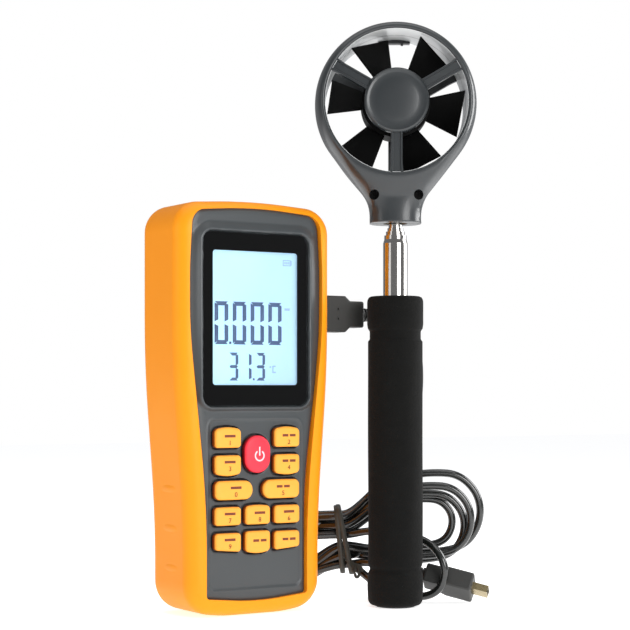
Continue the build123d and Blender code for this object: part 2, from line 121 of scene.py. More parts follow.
def surface(name: str, points: np.ndarray, wrap: tuple[bool, bool] = (False, False),
            caps: bool = False) -> bpy.types.Object:
    """Make a mesh object from a grid of points.

    Args:
        name: the object's name.
        points: array (rows, columns, 3) in metres.
        wrap: whether rows and columns close on themselves.
        caps: close the first and last row with one point at their mean.
    Returns:
        The object, smooth shaded, its faces pointing outwards when it is closed.
    """
    rows, cols = points.shape[:2]
    r = np.arange(rows if wrap[0] else rows - 1)
    c = np.arange(cols if wrap[1] else cols - 1)
    rr, cc = np.meshgrid(r, c, indexing="ij")
    down, right = (rr + 1) % rows, (cc + 1) % cols
    quads = np.stack([rr * cols + cc, down * cols + cc, down * cols + right, rr * cols + right], -1).reshape(-1, 4)
    verts = points.reshape(-1, 3)
    faces = quads.tolist()
    if caps:
        ends = np.stack([points[0].mean(0), points[-1].mean(0)])
        verts = np.concatenate([verts, ends])
        first, last = rows * cols, rows * cols + 1
        ring = np.arange(cols)
        nxt = (ring + 1) % cols
        faces += np.stack([np.full(cols, first), ring, nxt], -1).tolist()
        base = (rows - 1) * cols
        faces += np.stack([np.full(cols, last), base + nxt, base + ring], -1).tolist()
    mesh = bpy.data.meshes.new(name)
    mesh.from_pydata(verts.tolist(), [], faces)
    finish_mesh(mesh, recalc=caps or all(wrap))
    piece = bpy.data.objects.new(name, mesh)
    bpy.context.scene.collection.objects.link(piece)
    return piece


def finish_mesh(mesh: bpy.types.Mesh, recalc: bool = True) -> None:
    """Merge doubles, point the faces outwards and shade smooth, with creases kept sharp.

    Args:
        mesh: the mesh to clean.
        recalc: whether it is closed, so its faces can be turned outwards.
    """
    work = bmesh.new()
    work.from_mesh(mesh)
    bmesh.ops.remove_doubles(work, verts=work.verts, dist=1e-6)
    if recalc:
        bmesh.ops.recalc_face_normals(work, faces=work.faces)
    work.to_mesh(mesh)
    work.free()
    mesh.shade_smooth()
    mesh.set_sharp_from_angle(angle=math.radians(38))


def close_back(mesh: bpy.types.Mesh) -> None:
    """Fill a sheet's open edge, which lies in one plane, and point the faces outwards."""
    work = bmesh.new()
    work.from_mesh(mesh)
    bmesh.ops.holes_fill(work, edges=[e for e in work.edges if e.is_boundary], sides=0)
    bmesh.ops.recalc_face_normals(work, faces=work.faces)
    work.to_mesh(mesh)
    work.free()


def joined(name: str, pieces: list[bpy.types.Object]) -> bpy.types.Object:
    """Join several objects that sit at the origin into one.

    Args:
        name: the new object's name.
        pieces: the objects, which are used up.
    Returns:
        The joined object.
    """
    work = bmesh.new()
    for piece in pieces:
        work.from_mesh(piece.data)
    mesh = bpy.data.meshes.new(name)
    work.to_mesh(mesh)
    work.free()
    for piece in pieces:
        bpy.data.objects.remove(piece)
    mesh.shade_smooth()
    mesh.set_sharp_from_angle(angle=math.radians(38))
    whole = bpy.data.objects.new(name, mesh)
    bpy.context.scene.collection.objects.link(whole)
    return whole


def bore(piece: bpy.types.Object, tool: bpy.types.Object) -> None:
    """Cut a closed tool out of a closed piece and apply the cut."""
    cut = piece.modifiers.new("bore", "BOOLEAN")
    cut.object, cut.operation, cut.solver = tool, "DIFFERENCE", "EXACT"
    depsgraph = bpy.context.evaluated_depsgraph_get()
    mesh = bpy.data.meshes.new_from_object(piece.evaluated_get(depsgraph))
    piece.modifiers.clear()
    piece.data = mesh
    bpy.data.objects.remove(tool)
    mesh.shade_smooth()
    mesh.set_sharp_from_angle(angle=math.radians(38))


# ------------------------------------------------------------------ finishes
class Finish:
    """A material made once and shared; subclasses lay out its nodes."""

    made: dict[str, bpy.types.Material] = {}
    name: str

    def nodes(self, tree: bpy.types.NodeTree, shader: bpy.types.Node, place: bpy.types.NodeSocket) -> None:
        """Lay the finish's nodes out around the main shader."""
        raise NotImplementedError

    def material(self) -> bpy.types.Material:
        """The material, made on first use."""
        if self.name not in Finish.made:
            made = bpy.data.materials.new(self.name)
            made.use_nodes = True
            tree = made.node_tree
            shader = tree.nodes["Principled BSDF"]
            place = add_node(tree, "ShaderNodeTexCoord", {}).outputs["Object"]
            self.nodes(tree, shader, place)
            Finish.made[self.name] = made
        return Finish.made[self.name]

    def dress(self, *pieces: bpy.types.Object) -> None:
        """Give the pieces this finish."""
        for piece in pieces:
            piece.data.materials.clear()
            piece.data.materials.append(self.material())


@dataclass(frozen=True)
class Moulded(Finish):
    """Moulded plastic or rubber: a fine spark-eroded grain, slight mottling and a soft gloss.

    grain_mm is the texture's spacing and bump its strength; tint is the mottling's second colour.
    """

    name: str
    colour: str
    tint: str
    roughness: float = 0.42
    grain_mm: float = 0.45
    bump: float = 0.12
    coat: float = 0.0
    ior: float = 1.5
    specular: float = 0.5

    def nodes(self, tree: bpy.types.NodeTree, shader: bpy.types.Node, place: bpy.types.NodeSocket) -> None:
        """Mottled colour, roughness that follows it, and a grain bump."""
        cloud = add_node(tree, "ShaderNodeTexNoise", {"Scale": 38.0, "Detail": 4.0, "Roughness": 0.6},
                         Vector=place)
        mix = add_node(tree, "ShaderNodeMix", {"data_type": "RGBA"}, Factor=cloud.outputs["Fac"])
        mix.inputs[6].default_value, mix.inputs[7].default_value = linear(self.colour), linear(self.tint)
        tree.links.new(mix.outputs[2], shader.inputs["Base Color"])
        worn = add_node(tree, "ShaderNodeMapRange",
                        {"To Min": self.roughness - 0.05, "To Max": self.roughness + 0.06},
                        Value=cloud.outputs["Fac"])
        tree.links.new(worn.outputs["Result"], shader.inputs["Roughness"])
        grain = add_node(tree, "ShaderNodeTexNoise", {"Scale": 1.0 / (self.grain_mm * MM), "Detail": 2.0},
                         Vector=place)
        bump = add_node(tree, "ShaderNodeBump", {"Strength": self.bump, "Distance": 0.0002},
                        Height=grain.outputs["Fac"])
        tree.links.new(bump.outputs["Normal"], shader.inputs["Normal"])
        shader.inputs["IOR"].default_value = self.ior
        shader.inputs["Specular IOR Level"].default_value = self.specular
        shader.inputs["Coat Weight"].default_value = self.coat
        shader.inputs["Coat Roughness"].default_value = 0.12


@dataclass(frozen=True)
class Metal(Finish):
    """Bare or plated metal: a base colour with fine drawing marks along one axis."""

    name: str
    colour: str
    roughness: float = 0.2
    marks: tuple[float, float, float] = (900.0, 900.0, 40.0)
    bump: float = 0.05

    def nodes(self, tree: bpy.types.NodeTree, shader: bpy.types.Node, place: bpy.types.NodeSocket) -> None:
        """A metallic shader whose roughness and bump follow stretched noise."""
        stretch = add_node(tree, "ShaderNodeMapping", {"Scale": self.marks}, Vector=place)
        streak = add_node(tree, "ShaderNodeTexNoise", {"Scale": 1.0, "Detail": 3.0},
                          Vector=stretch.outputs["Vector"])
        spread = add_node(tree, "ShaderNodeMapRange",
                          {"To Min": self.roughness * 0.7, "To Max": self.roughness * 1.4},
                          Value=streak.outputs["Fac"])
        bump = add_node(tree, "ShaderNodeBump", {"Strength": self.bump, "Distance": 0.00005},
                        Height=streak.outputs["Fac"])
        tree.links.new(spread.outputs["Result"], shader.inputs["Roughness"])
        tree.links.new(bump.outputs["Normal"], shader.inputs["Normal"])
        shader.inputs["Base Color"].default_value = linear(self.colour)
        shader.inputs["Metallic"].default_value = 1.0


@dataclass(frozen=True)
class ClosedCellFoam(Finish):
    """Extruded rubber foam: burst cells under half a millimetre wide over a velvety black."""

    name: str = "closed_cell_foam"
    colour: str = "#0C0C0B"
    tint: str = "#131312"
    cell_mm: float = 0.55

    def nodes(self, tree: bpy.types.NodeTree, shader: bpy.types.Node, place: bpy.types.NodeSocket) -> None:
        """Cells as a Voronoi bump, with a slow unevenness under them."""
        cells = add_node(tree, "ShaderNodeTexVoronoi", {"Scale": 1.0 / (self.cell_mm * MM)}, Vector=place)
        slow = add_node(tree, "ShaderNodeTexNoise", {"Scale": 240.0, "Detail": 5.0}, Vector=place)
        mix = add_node(tree, "ShaderNodeMix", {"data_type": "RGBA"}, Factor=slow.outputs["Fac"])
        mix.inputs[6].default_value, mix.inputs[7].default_value = linear(self.colour), linear(self.tint)
        tree.links.new(mix.outputs[2], shader.inputs["Base Color"])
        under = add_node(tree, "ShaderNodeBump", {"Strength": 0.35, "Distance": 0.0004},
                         Height=slow.outputs["Fac"])
        over = add_node(tree, "ShaderNodeBump", {"Strength": 0.5, "Distance": 0.00025, "invert": True},
                        Height=cells.outputs["Distance"], Normal=under.outputs["Normal"])
        tree.links.new(over.outputs["Normal"], shader.inputs["Normal"])
        shader.inputs["Roughness"].default_value = 0.92
        shader.inputs["Sheen Weight"].default_value = 0.03
        shader.inputs["Specular IOR Level"].default_value = 0.12


@dataclass(frozen=True)
class ClearSheet(Finish):
    """Clear acrylic sheet: polished, faintly blue through its edge."""

    name: str = "clear_acrylic"

    def nodes(self, tree: bpy.types.NodeTree, shader: bpy.types.Node, place: bpy.types.NodeSocket) -> None:
        """A transmitting shader with a faint polishing haze."""
        haze = add_node(tree, "ShaderNodeTexNoise", {"Scale": 60.0, "Detail": 3.0}, Vector=place)
        spread = add_node(tree, "ShaderNodeMapRange", {"To Min": 0.0, "To Max": 0.04}, Value=haze.outputs["Fac"])
        tree.links.new(spread.outputs["Result"], shader.inputs["Roughness"])
        shader.inputs["Base Color"].default_value = linear("#F4FAFC")
        shader.inputs["Transmission Weight"].default_value = 1.0
        shader.inputs["IOR"].default_value = 1.49


@dataclass(frozen=True)
class PaintedGlowCrystal(Finish):
    """A liquid crystal cell: pale sky blue with a painted glow, which stands in for the lamp light that the clear
    lens shadows, and painted lighter towards low x.
    """

    name: str = "crystal_painted_glow"
    low: str = "#D2F8FF"
    high: str = "#BCDDF2"

    def nodes(self, tree: bpy.types.NodeTree, shader: bpy.types.Node, place: bpy.types.NodeSocket) -> None:
        """A slow gradient, painted lighter at low x, drives both the colour and the painted glow that it gives."""
        glow = add_node(tree, "ShaderNodeTexNoise", {"Scale": 26.0, "Detail": 1.0}, Vector=place)
        parts = add_node(tree, "ShaderNodeSeparateXYZ", {}, Vector=place)
        slope = add_node(tree, "ShaderNodeMapRange", {"From Min": -0.052, "From Max": -0.010},
                         Value=parts.outputs["X"])
        both = add_node(tree, "ShaderNodeMath", {"operation": "MULTIPLY_ADD"})
        tree.links.new(slope.outputs["Result"], both.inputs[0])
        both.inputs[1].default_value = 0.75
        tree.links.new(glow.outputs["Fac"], both.inputs[2])
        ramp = add_node(tree, "ShaderNodeMix", {"data_type": "RGBA"}, Factor=both.outputs["Value"])
        ramp.inputs[6].default_value, ramp.inputs[7].default_value = linear(self.low), linear(self.high)
        tree.links.new(ramp.outputs[2], shader.inputs["Base Color"])
        tree.links.new(ramp.outputs[2], shader.inputs["Emission Color"])
        # Painted glow: emission standing in for the lamp light that the clear lens shadows.
        shader.inputs["Emission Strength"].default_value = 0.6
        shader.inputs["Roughness"].default_value = 0.35


@dataclass(frozen=True)
class Printed(Finish):
    """Screen ink or a dark crystal segment: thin, even and slightly uneven in cover; on the segments the glow is
    painted light.
    """

    name: str
    colour: str
    tint: str
    roughness: float = 0.5
    glow: float = 0.0

    def nodes(self, tree: bpy.types.NodeTree, shader: bpy.types.Node, place: bpy.types.NodeSocket) -> None:
        """Ink whose cover varies at the scale of a print screen."""
        cover = add_node(tree, "ShaderNodeTexNoise", {"Scale": 900.0, "Detail": 2.0}, Vector=place)
        mix = add_node(tree, "ShaderNodeMix", {"data_type": "RGBA"}, Factor=cover.outputs["Fac"])
        mix.inputs[6].default_value, mix.inputs[7].default_value = linear(self.colour), linear(self.tint)
        tree.links.new(mix.outputs[2], shader.inputs["Base Color"])
        shader.inputs["Roughness"].default_value = self.roughness
        # A glow above zero is painted light, given to the crystal segments.
        shader.inputs["Emission Color"].default_value = linear(self.colour)
        shader.inputs["Emission Strength"].default_value = self.glow


@dataclass(frozen=True)
class PaperSweep(Finish):
    """Backlit white paper: matt, its cloudy fibre barely seen, with a glow that keeps shadows faint."""

    name: str = "backlit_white_paper"
    glow: float = 0.71

    def nodes(self, tree: bpy.types.NodeTree, shader: bpy.types.Node, place: bpy.types.NodeSocket) -> None:
        """White with a slight cloud, and a glow of its own."""
        cloud = add_node(tree, "ShaderNodeTexNoise", {"Scale": 14.0, "Detail": 3.0}, Vector=place)
        mix = add_node(tree, "ShaderNodeMix", {"data_type": "RGBA"}, Factor=cloud.outputs["Fac"])
        mix.inputs[6].default_value, mix.inputs[7].default_value = linear("#FFFFFF"), linear("#FAFAFA")
        tree.links.new(mix.outputs[2], shader.inputs["Base Color"])
        shader.inputs["Roughness"].default_value = 0.9
        shader.inputs["Emission Color"].default_value = linear("#FFFFFF")
        shader.inputs["Emission Strength"].default_value = self.glow


@dataclass(frozen=True)
class SiliconeKey(Finish):
    """Silicone rubber key: its own colour on the face, darkened to a painted shade down the sides where they drop
    into the panel.
    """

    name: str
    face: str
    painted_shade: str
    crown_y: float

    def nodes(self, tree: bpy.types.NodeTree, shader: bpy.types.Node, place: bpy.types.NodeSocket) -> None:
        """Colour by depth behind the crown, the sides darkened to painted shade, with a fine matt grain."""
        parts = add_node(tree, "ShaderNodeSeparateXYZ", {}, Vector=place)
        # Painted shade: from 0.55 mm behind the crown the colour darkens to the shaded side colour.
        depth = add_node(tree, "ShaderNodeMapRange",
                         {"From Min": self.crown_y + 0.00055, "From Max": self.crown_y + 0.0016},
                         Value=parts.outputs["Y"])
        mix = add_node(tree, "ShaderNodeMix", {"data_type": "RGBA"}, Factor=depth.outputs["Result"])
        mix.inputs[6].default_value, mix.inputs[7].default_value = linear(self.face), linear(self.painted_shade)
        grain = add_node(tree, "ShaderNodeTexNoise", {"Scale": 2600.0, "Detail": 2.0}, Vector=place)
        bump = add_node(tree, "ShaderNodeBump", {"Strength": 0.1, "Distance": 0.0001},
                        Height=grain.outputs["Fac"])
        tree.links.new(mix.outputs[2], shader.inputs["Base Color"])
        tree.links.new(bump.outputs["Normal"], shader.inputs["Normal"])
        shader.inputs["Roughness"].default_value = 0.46
        shader.inputs["IOR"].default_value = 1.42


# The meter's shell: yellow-orange ABS over a spark-eroded tool, satin, a little shine on its rounds.
ORANGE_ABS = Moulded("orange_abs_satin", "#FC9A16", "#F9940F", roughness=0.42, grain_mm=0.5, bump=0.06,
                     specular=0.2)
# The front panel and fan head: dark grey ABS, satin.
PANEL_ABS = Moulded("grey_abs_panel", "#3F4345", "#393D3F", roughness=0.34, grain_mm=0.4, bump=0.08)
HEAD_ABS = Moulded("grey_abs_fan_head", "#2B2F31", "#26292B", roughness=0.32, grain_mm=0.5, bump=0.05, coat=0.2)
# Painted reflection: the duct's inner sleeves are near white, standing in for the bright surroundings that the
# glossy dark duct wall reflects.
DUCT_PAINTED_REFLECTION = Moulded("duct_wall_painted_reflection", "#F0F2F2", "#DCDEDE", roughness=0.25, grain_mm=0.6, bump=0.12,
                   coat=0.3)
ROTOR_ABS = Moulded("black_abs_vane", "#050505", "#070707", roughness=0.55, grain_mm=0.5, bump=0.05,
                    specular=0.08)
CORE_ABS = Moulded("black_abs_core", "#151515", "#1B1B1B", roughness=0.4)
# Lead and plugs: soft PVC, darker and shinier on the lead than on the moulded plugs.
LEAD_PVC = Moulded("lead_pvc_jacket", "#151715", "#1C1E1C", roughness=0.22, grain_mm=1.2, bump=0.1, coat=0.6)
PLUG_PVC = Moulded("plug_pvc_moulding", "#2E2E2C", "#272725", roughness=0.5, grain_mm=0.4, bump=0.15)
TIE_PVC = Moulded("twist_tie_ribbon", "#40423D", "#34362F", roughness=0.4, grain_mm=0.8, bump=0.2)
BOARD_MASK = Moulded("green_solder_mask", "#14603A", "#0F5231", roughness=0.3, grain_mm=1.5, bump=0.1, coat=0.3)
CHIP_EPOXY = Moulded("black_chip_epoxy", "#141414", "#1C1C1C", roughness=0.6, grain_mm=0.2, bump=0.2)
SENSOR_EPOXY = Moulded("sensor_epoxy", "#26282B", "#1F2124", roughness=0.35)
DIFFUSER = Moulded("white_light_diffuser", "#EDF1F2", "#E4EAEC", roughness=0.6)
BATTERY_SKIN = Moulded("battery_printed_can", "#2B2D33", "#23252A", roughness=0.3, coat=0.4)
SNAP_VINYL = Moulded("battery_snap_vinyl", "#17171A", "#202024", roughness=0.55)
LENS_INK = Printed("black_lens_ink", "#1E1E1D", "#242423", 0.3)
# The crystal segments carry a painted glow: emission standing in for the lamp light that the clear lens shadows.
SEGMENT_INK = Printed("dark_crystal_segment", "#465A80", "#506488", 0.4, 0.5)
FAINT_INK = Printed("faint_crystal_segment", "#93AFC6", "#A0BACE", 0.4, 0.7)
LEGEND_INK = Printed("brown_key_print", "#6A2A08", "#78360E", 0.6)
ICON_INK = Printed("white_key_print", "#FFC4CA", "#FFD2D6", 0.5)
# Rod: polished chrome on brass tube. Shells: flash-plated steel. Screws: blackened steel.
ROD_CHROME = Metal("polished_chrome_rod", "#B4B1AD", 0.13, (1500.0, 1500.0, 60.0), 0.03)
GOLD_SHELL = Metal("flash_plated_shell", "#A79873", 0.28, (900.0, 900.0, 900.0), 0.1)
NICKEL = Metal("nickel_plate", "#B9B7B0", 0.25)
SCREW_STEEL = Metal("blackened_screw_steel", "#1A1A1A", 0.35, (900.0, 900.0, 900.0), 0.1)
BEARING_STEEL = Metal("ground_bearing_steel", "#C4C6C8", 0.15)
BRASS = Metal("turned_brass", "#C9A65B", 0.22, (60.0, 60.0, 1800.0), 0.08)
FERRITE = Metal("ferrite_magnet", "#3A3A3C", 0.55)


# ------------------------------------------------------------------ frame
@dataclass
class Place:
    """Where the meter and the probe stand, read from the CAD frame."""

    meter: Vector = field(default_factory=Vector)
    probe: Vector = field(default_factory=Vector)
    yaw: float = 0.0

    @classmethod
    def read(cls, frame: dict) -> "Place":
        """Find the meter's centre, the probe's axis and the probe's heading.

        Args:
        Returns:
            The places, in metres and radians.
        """
        board_low, board_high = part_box("main_board")
        case_low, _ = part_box("case_front")
        _, rear_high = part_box("case_rear")
        tube_low, tube_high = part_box("rod_tube_1")
        spin = next(j for j in frame["joints"] if j["name"] == "rotor_spin")["axis"]
        meter = Vector(((board_low.x + board_high.x) / 2, (case_low.y + rear_high.y) / 2, 0.0))
        probe = Vector(((tube_low.x + tube_high.x) / 2, (tube_low.y + tube_high.y) / 2, 0.0))
        return cls(meter, probe, math.atan2(spin[0], -spin[1]))

    def on_meter(self, x: np.ndarray, y: np.ndarray, z: np.ndarray) -> np.ndarray:
        """Millimetres about the meter's centre to metres in the row frame."""
        x, y, z = np.broadcast_arrays(x, y, z)
        return np.stack([x * MM + self.meter.x, y * MM + self.meter.y, z * MM], -1)

    def on_probe(self, x: np.ndarray, y: np.ndarray, z: np.ndarray) -> np.ndarray:
        """Millimetres about the probe's axis, its fan facing -Y, to metres in the row frame."""
        x, y, z = np.broadcast_arrays(x, y, z)
        c, s = math.cos(self.yaw), math.sin(self.yaw)
        return np.stack([(x * c - y * s) * MM + self.probe.x, (x * s + y * c) * MM + self.probe.y, z * MM], -1)

    def beside(self, across: float, behind: float, z: float) -> Vector:
        """A point across and behind the meter's centre in the probe's heading, in mm, to the row frame."""
        c, s = math.cos(self.yaw), math.sin(self.yaw)
        return Vector(((across * c - behind * s) * MM + self.meter.x,
                       (across * s + behind * c) * MM + self.meter.y, z * MM))


def show(piece: bpy.types.Object, body: str, slot: str, finish: Finish, *nodes: str) -> bpy.types.Object:
    """Dress a new piece, ride it on its body and hide the CAD nodes that it stands for.

    Args:
        piece: the new object.
        body: the CAD body that it moves with.
        slot: the record's material slot; not used.
        finish: its finish.
        nodes: CAD nodes that it replaces.
    Returns:
        The piece.
    """
    finish.dress(piece)
    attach(piece, body)
    if nodes:
        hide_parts(*nodes)
    LOG.info("%s rides on %s", piece.name, body)
    return piece


# ------------------------------------------------------------------ camera, light and floor
@dataclass
class Studio:
    """A pale sweep, soft light and a level camera with a little rise."""

    place: Place
    focal_ratio: float = 1700 / 630
    height: float = 88.7
    distance: float = 684.0
    aside: float = 31.5
    rise: float = 0.119
    room_light: float = 0.3
    # Each lamp's name, its place across, behind and up in mm, its side in metres and its watts.
    lamps: tuple[tuple[str, tuple[int, int, int], float, float], ...] = (
        ("key", (430, -580, 260), 0.34, 2.7),
        ("fill", (-560, -330, 260), 0.35, 0.55),
        ("top", (30, -60, 720), 0.7, 2.3),
        ("strip", (420, 120, 240), 0.25, 1.3))

    def build(self) -> None:
        """Make the camera, the lights, the floor and the world."""
        self.camera()
        self.lights()
        floor = surface("floor", self.sheet())
        PaperSweep().dress(floor)
        world = bpy.data.worlds.new("studio")
        bpy.context.scene.world = world
        world.use_nodes = True
        tree = world.node_tree
        room = tree.nodes["Background"]
        room.inputs["Color"].default_value = linear("#F4F6FA")
        room.inputs["Strength"].default_value = self.room_light
        sweep = add_node(tree, "ShaderNodeBackground", {"Color": linear("#FFFFFF"), "Strength": 1.0})
        path = add_node(tree, "ShaderNodeLightPath", {})
        both = add_node(tree, "ShaderNodeMixShader", {}, Fac=path.outputs["Is Camera Ray"])
        tree.links.new(room.outputs["Background"], both.inputs[1])
        tree.links.new(sweep.outputs["Background"], both.inputs[2])
        tree.links.new(both.outputs["Shader"], tree.nodes["World Output"].inputs["Surface"])
        bpy.context.scene.view_settings.view_transform = "Standard"

    @staticmethod
    def sheet() -> np.ndarray:
        """A flat floor four metres square, just under the object."""
        x, y = np.meshgrid(np.linspace(-2, 2, 3), np.linspace(-2, 2, 3), indexing="ij")
        return np.stack([x, y, np.full_like(x, -0.0002)], -1)

    def camera(self) -> None:
        """A long lens, level, its frame raised so that upright edges stay upright."""
        lens = bpy.data.cameras.new("camera")
        lens.sensor_width = 36.0
        lens.lens = 36.0 * self.focal_ratio
        lens.shift_y = self.rise
        body = bpy.data.objects.new("camera", lens)
        bpy.context.scene.collection.objects.link(body)
        where = self.place.beside(self.aside, -self.distance, self.height)
        body.location = where
        body.rotation_euler = (math.radians(90), 0, self.place.yaw)
        bpy.context.scene.camera = body

    def lights(self) -> None:
        """A key from the right front, a weaker fill from the left, one overhead and a strip behind."""
        for name, spot, size, power in self.lamps:
            data = bpy.data.lights.new(name, "AREA")
            data.size, data.energy = size, power
            lamp = bpy.data.objects.new(name, data)
            bpy.context.scene.collection.objects.link(lamp)
            lamp.location = self.place.beside(*spot)
            aim = self.place.beside(30, 0, 110) - lamp.location
            lamp.rotation_euler = aim.to_track_quat("-Z", "Y").to_euler()


# ------------------------------------------------------------------ lead
@dataclass
class Lead:
    """The double-ended lead: out of the meter's plug, wound into a tied hank, ending in the free plug."""

    place: Place
    diameter: float = 3.3
    layers: tuple[float, ...] = (48.4, 38.5, 41.8, 45.1)
    columns: tuple[float, ...] = (44.5, 40.5, 44.5, 40.5, 44.5, 40.5)
    upper: tuple[float, ...] = (35.5, 34.5, 31.6, 30.8, 27.8, 27.0)
    lower: tuple[float, ...] = (22.4, 21.6, 18.8, 18.0, 15.2, 14.4)
    right_end: tuple[float, ...] = (103.0, 98.0, 95.5, 90.5)
    right_top: tuple[float, ...] = (53.0, 48.0, 44.5, 42.0)
    right_foot: tuple[float, ...] = (19.0, 18.5, 16.5, 22.0)
    left_end: tuple[float, ...] = (-12.0, -9.0, -13.0, -7.0, -10.0, -8.0)
    left_layers: tuple[float, ...] = (47.0, 43.2, 39.6, 47.0, 43.2, 39.6)
    left_foot: tuple[float, ...] = (7.0, 4.0, 2.1, 5.5, 3.2, 8.0)
    front_loop: tuple[tuple[float, float, float], ...] = (
        (54, 38.0, 9.0), (61, 33.5, 3.5), (70, 29.0, 2.4), (78, 23.0, 2.6), (83.5, 19.0, 6.5), (85.5, 18.0, 13.0),
        (84, 18.5, 19.5), (80, 22.0, 24.5), (73, 28.5, 27.5), (64, 33.5, 29.0), (54, 38.0, 29.0))
    tie_at: float = 43.0

    def run_in(self) -> list[Vector]:
        """From the meter's plug over and down behind the handle."""
        low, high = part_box("plug_meter_relief")
        tail = Vector((high.x, (low.y + high.y) / 2, (low.z + high.z) / 2))
        return [tail, tail + Vector((0.009, 0, 0)), *(self.place.beside(*p) for p in (
            (73.0, 42.5, 113.5), (76.0, 45.0, 104.0), (76.5, 45.5, 90.0), (74.5, 44.5, 75.0),
            (70.0, 43.6, 62.0), (62.5, 43.2, 51.5), (54.0, 43.2, 42.5)))]

    def hank(self) -> list[Vector]:
        """The turns: each goes left over the tie, round, back under it, and round the right-hand loop."""
        points: list[Vector] = []
        turns = len(self.left_end)
        for k in range(turns):
            zu, zl, col = self.upper[k], self.lower[k], self.columns[k]
            end, deep, foot = self.left_end[k], self.left_layers[k], self.left_foot[k]
            mid = (zu + foot) / 2
            points += [self.place.beside(*p) for p in (
                (self.tie_at + 3, col, zu), (self.tie_at - 3, col, zu), (30, (col + deep) / 2, zu - 0.4),
                (14, deep, zu - 2.5), (end + 9, deep, zu - 5), (end + 1, deep, mid + 5), (end, deep, mid - 4),
                (end + 7, deep, foot), (15, deep, foot + 0.3), (29, (col + deep) / 2, (foot + zl) / 2 - 0.6),
                (self.tie_at - 3, col, zl - 0.3), (self.tie_at + 3, col, zl))]
            if k == turns - 1:
                break
            if k == turns - 2:
                points += [self.place.beside(*p) for p in self.front_loop]
                continue
            end, top, foot, deep = self.right_end[k], self.right_top[k], self.right_foot[k], self.layers[k]
            col, zu = self.columns[k + 1], self.upper[k + 1]
            mid, half = (top + foot) / 2, (top - foot) / 2
            centre = end - half
            points += [self.place.beside(*p) for p in (
                (55, (col + deep) / 2, (zl + foot) / 2), (centre - 14, deep, foot), (centre - 3, deep, foot - 0.3),
                (centre + 0.6 * half, deep, mid - 0.86 * half), (end, deep, mid - 0.25 * half),
                (end - 0.05 * half, deep, mid + 0.45 * half), (centre + 0.45 * half, deep, mid + 0.97 * half),
                (centre - 4, deep, top + 0.2), (centre - 15, deep, top - 1.2),
                (57, (col + deep) / 2, (top + zu) / 2 + 1.5))]
        return points

    def run_out(self) -> list[Vector]:
        """Out of the hank and into the free plug's strain relief, along the plug's own axis."""
        tail = self.place.beside(70.4, 31.5, 12.7)
        nose = self.place.beside(104.0, 22.5, 4.6)
        axis = (tail - nose).normalized()
        return [self.place.beside(53.0, 38.0, 15.8), tail + axis * 0.007, tail]

    def build(self) -> bpy.types.Object:
        """Returns:
            The lead's curve object.
        """
        route = self.run_in() + self.hank() + self.run_out()
        curve = bpy.data.curves.new("lead_jacket", "CURVE")
        curve.dimensions = "3D"
        spline = curve.splines.new("NURBS")
        spline.points.add(len(route) - 1)
        spline.points.foreach_set("co", np.array([[*p, 1.0] for p in route]).ravel())
        spline.order_u = 3
        spline.use_endpoint_u = True
        spline.resolution_u = 8
        centre = bpy.data.objects.new("lead_centre", curve)
        line = bpy.data.meshes.new_from_object(centre)
        curve.bevel_depth = self.diameter / 2 * MM
        curve.bevel_resolution = 5
        curve.use_fill_caps = True
        bpy.data.objects.remove(centre)
        lead = bpy.data.objects.new("lead_jacket", curve)
        bpy.context.scene.collection.objects.link(lead)
        show(lead, "root", "lead_pvc", LEAD_PVC, "lead_tube_upper", "lead_tube_lower", "lead_hank")
        tie = self.tie()
        return lead

    def tie(self) -> bpy.types.Object:
        """A ribbed wire tie: two wraps round the bundle, leaning, then two ends twisted together.

        Each wrap is a rounded rectangle path that carries a flat ribbon section.
        """
        parts = []
        t = np.linspace(0, 2 * np.pi, 72, endpoint=False)
        ribbon = np.linspace(0, 2 * np.pi, 12, endpoint=False)
        for shift, lean, grow in ((-1.1, 0.10, 0.0), (1.2, 0.2, 0.35)):
            half_d, half_z = 5.9 + grow, 13.9 + grow
            d = 42.6 + half_d * np.clip(1.5 * np.cos(t), -1, 1) + 0.5 * np.cos(t)
            z = 25.0 + half_z * np.clip(1.12 * np.sin(t), -1, 1)
            across = self.tie_at + shift - lean * (z - 25.0)
            wide, thick = 1.1 * np.cos(ribbon), 0.45 * np.sin(ribbon)
            out_d, out_z = np.cos(t), np.sin(t)
            a = across[:, None] + wide[None, :]
            dd = d[:, None] + thick[None, :] * out_d[:, None]
            zz = z[:, None] + thick[None, :] * out_z[:, None]
            parts.append(surface("wrap", self.rows(a, dd, zz), (True, True)))
        s = np.linspace(0, 1, 60)
        for phase in (0.0, np.pi):
            turn = 2 * np.pi * 3.2 * s + phase
            spread = 0.75 + 1.9 * smooth(0.62, 1.0, s)
            a = 42.5 + 7.5 * s + spread * np.sin(turn) * 0.6
            d = 36.2 - 0.5 * s + 0.5 * np.cos(turn)
            z = 20.5 - 9.0 * s + spread * np.cos(turn)
            section = 0.62 * np.stack([np.cos(ribbon), np.sin(ribbon)])
            parts.append(surface("end", self.rows(a[:, None] + section[0], d[:, None] + 0 * section[0],
                                                  z[:, None] + section[1]), (False, True), caps=True))
        tie = joined("wire_tie", parts)
        return show(tie, "root", "twist_tie", TIE_PVC, "lead_tie")

    def rows(self, across: np.ndarray, behind: np.ndarray, z: np.ndarray) -> np.ndarray:
        """Whole arrays of beside(), for surfaces."""
        c, s = math.cos(self.place.yaw), math.sin(self.place.yaw)
        x = (across * c - behind * s) * MM + self.place.meter.x
        y = (across * s + behind * c) * MM + self.place.meter.y
        return np.stack(np.broadcast_arrays(x, y, z * MM), -1)


# ------------------------------------------------------------------ meter
class Legend(Enum):
    """The plain mark printed on a key, under its number."""

    BAR = "bar"
    PAIR = "pair"
    POWER = "power"


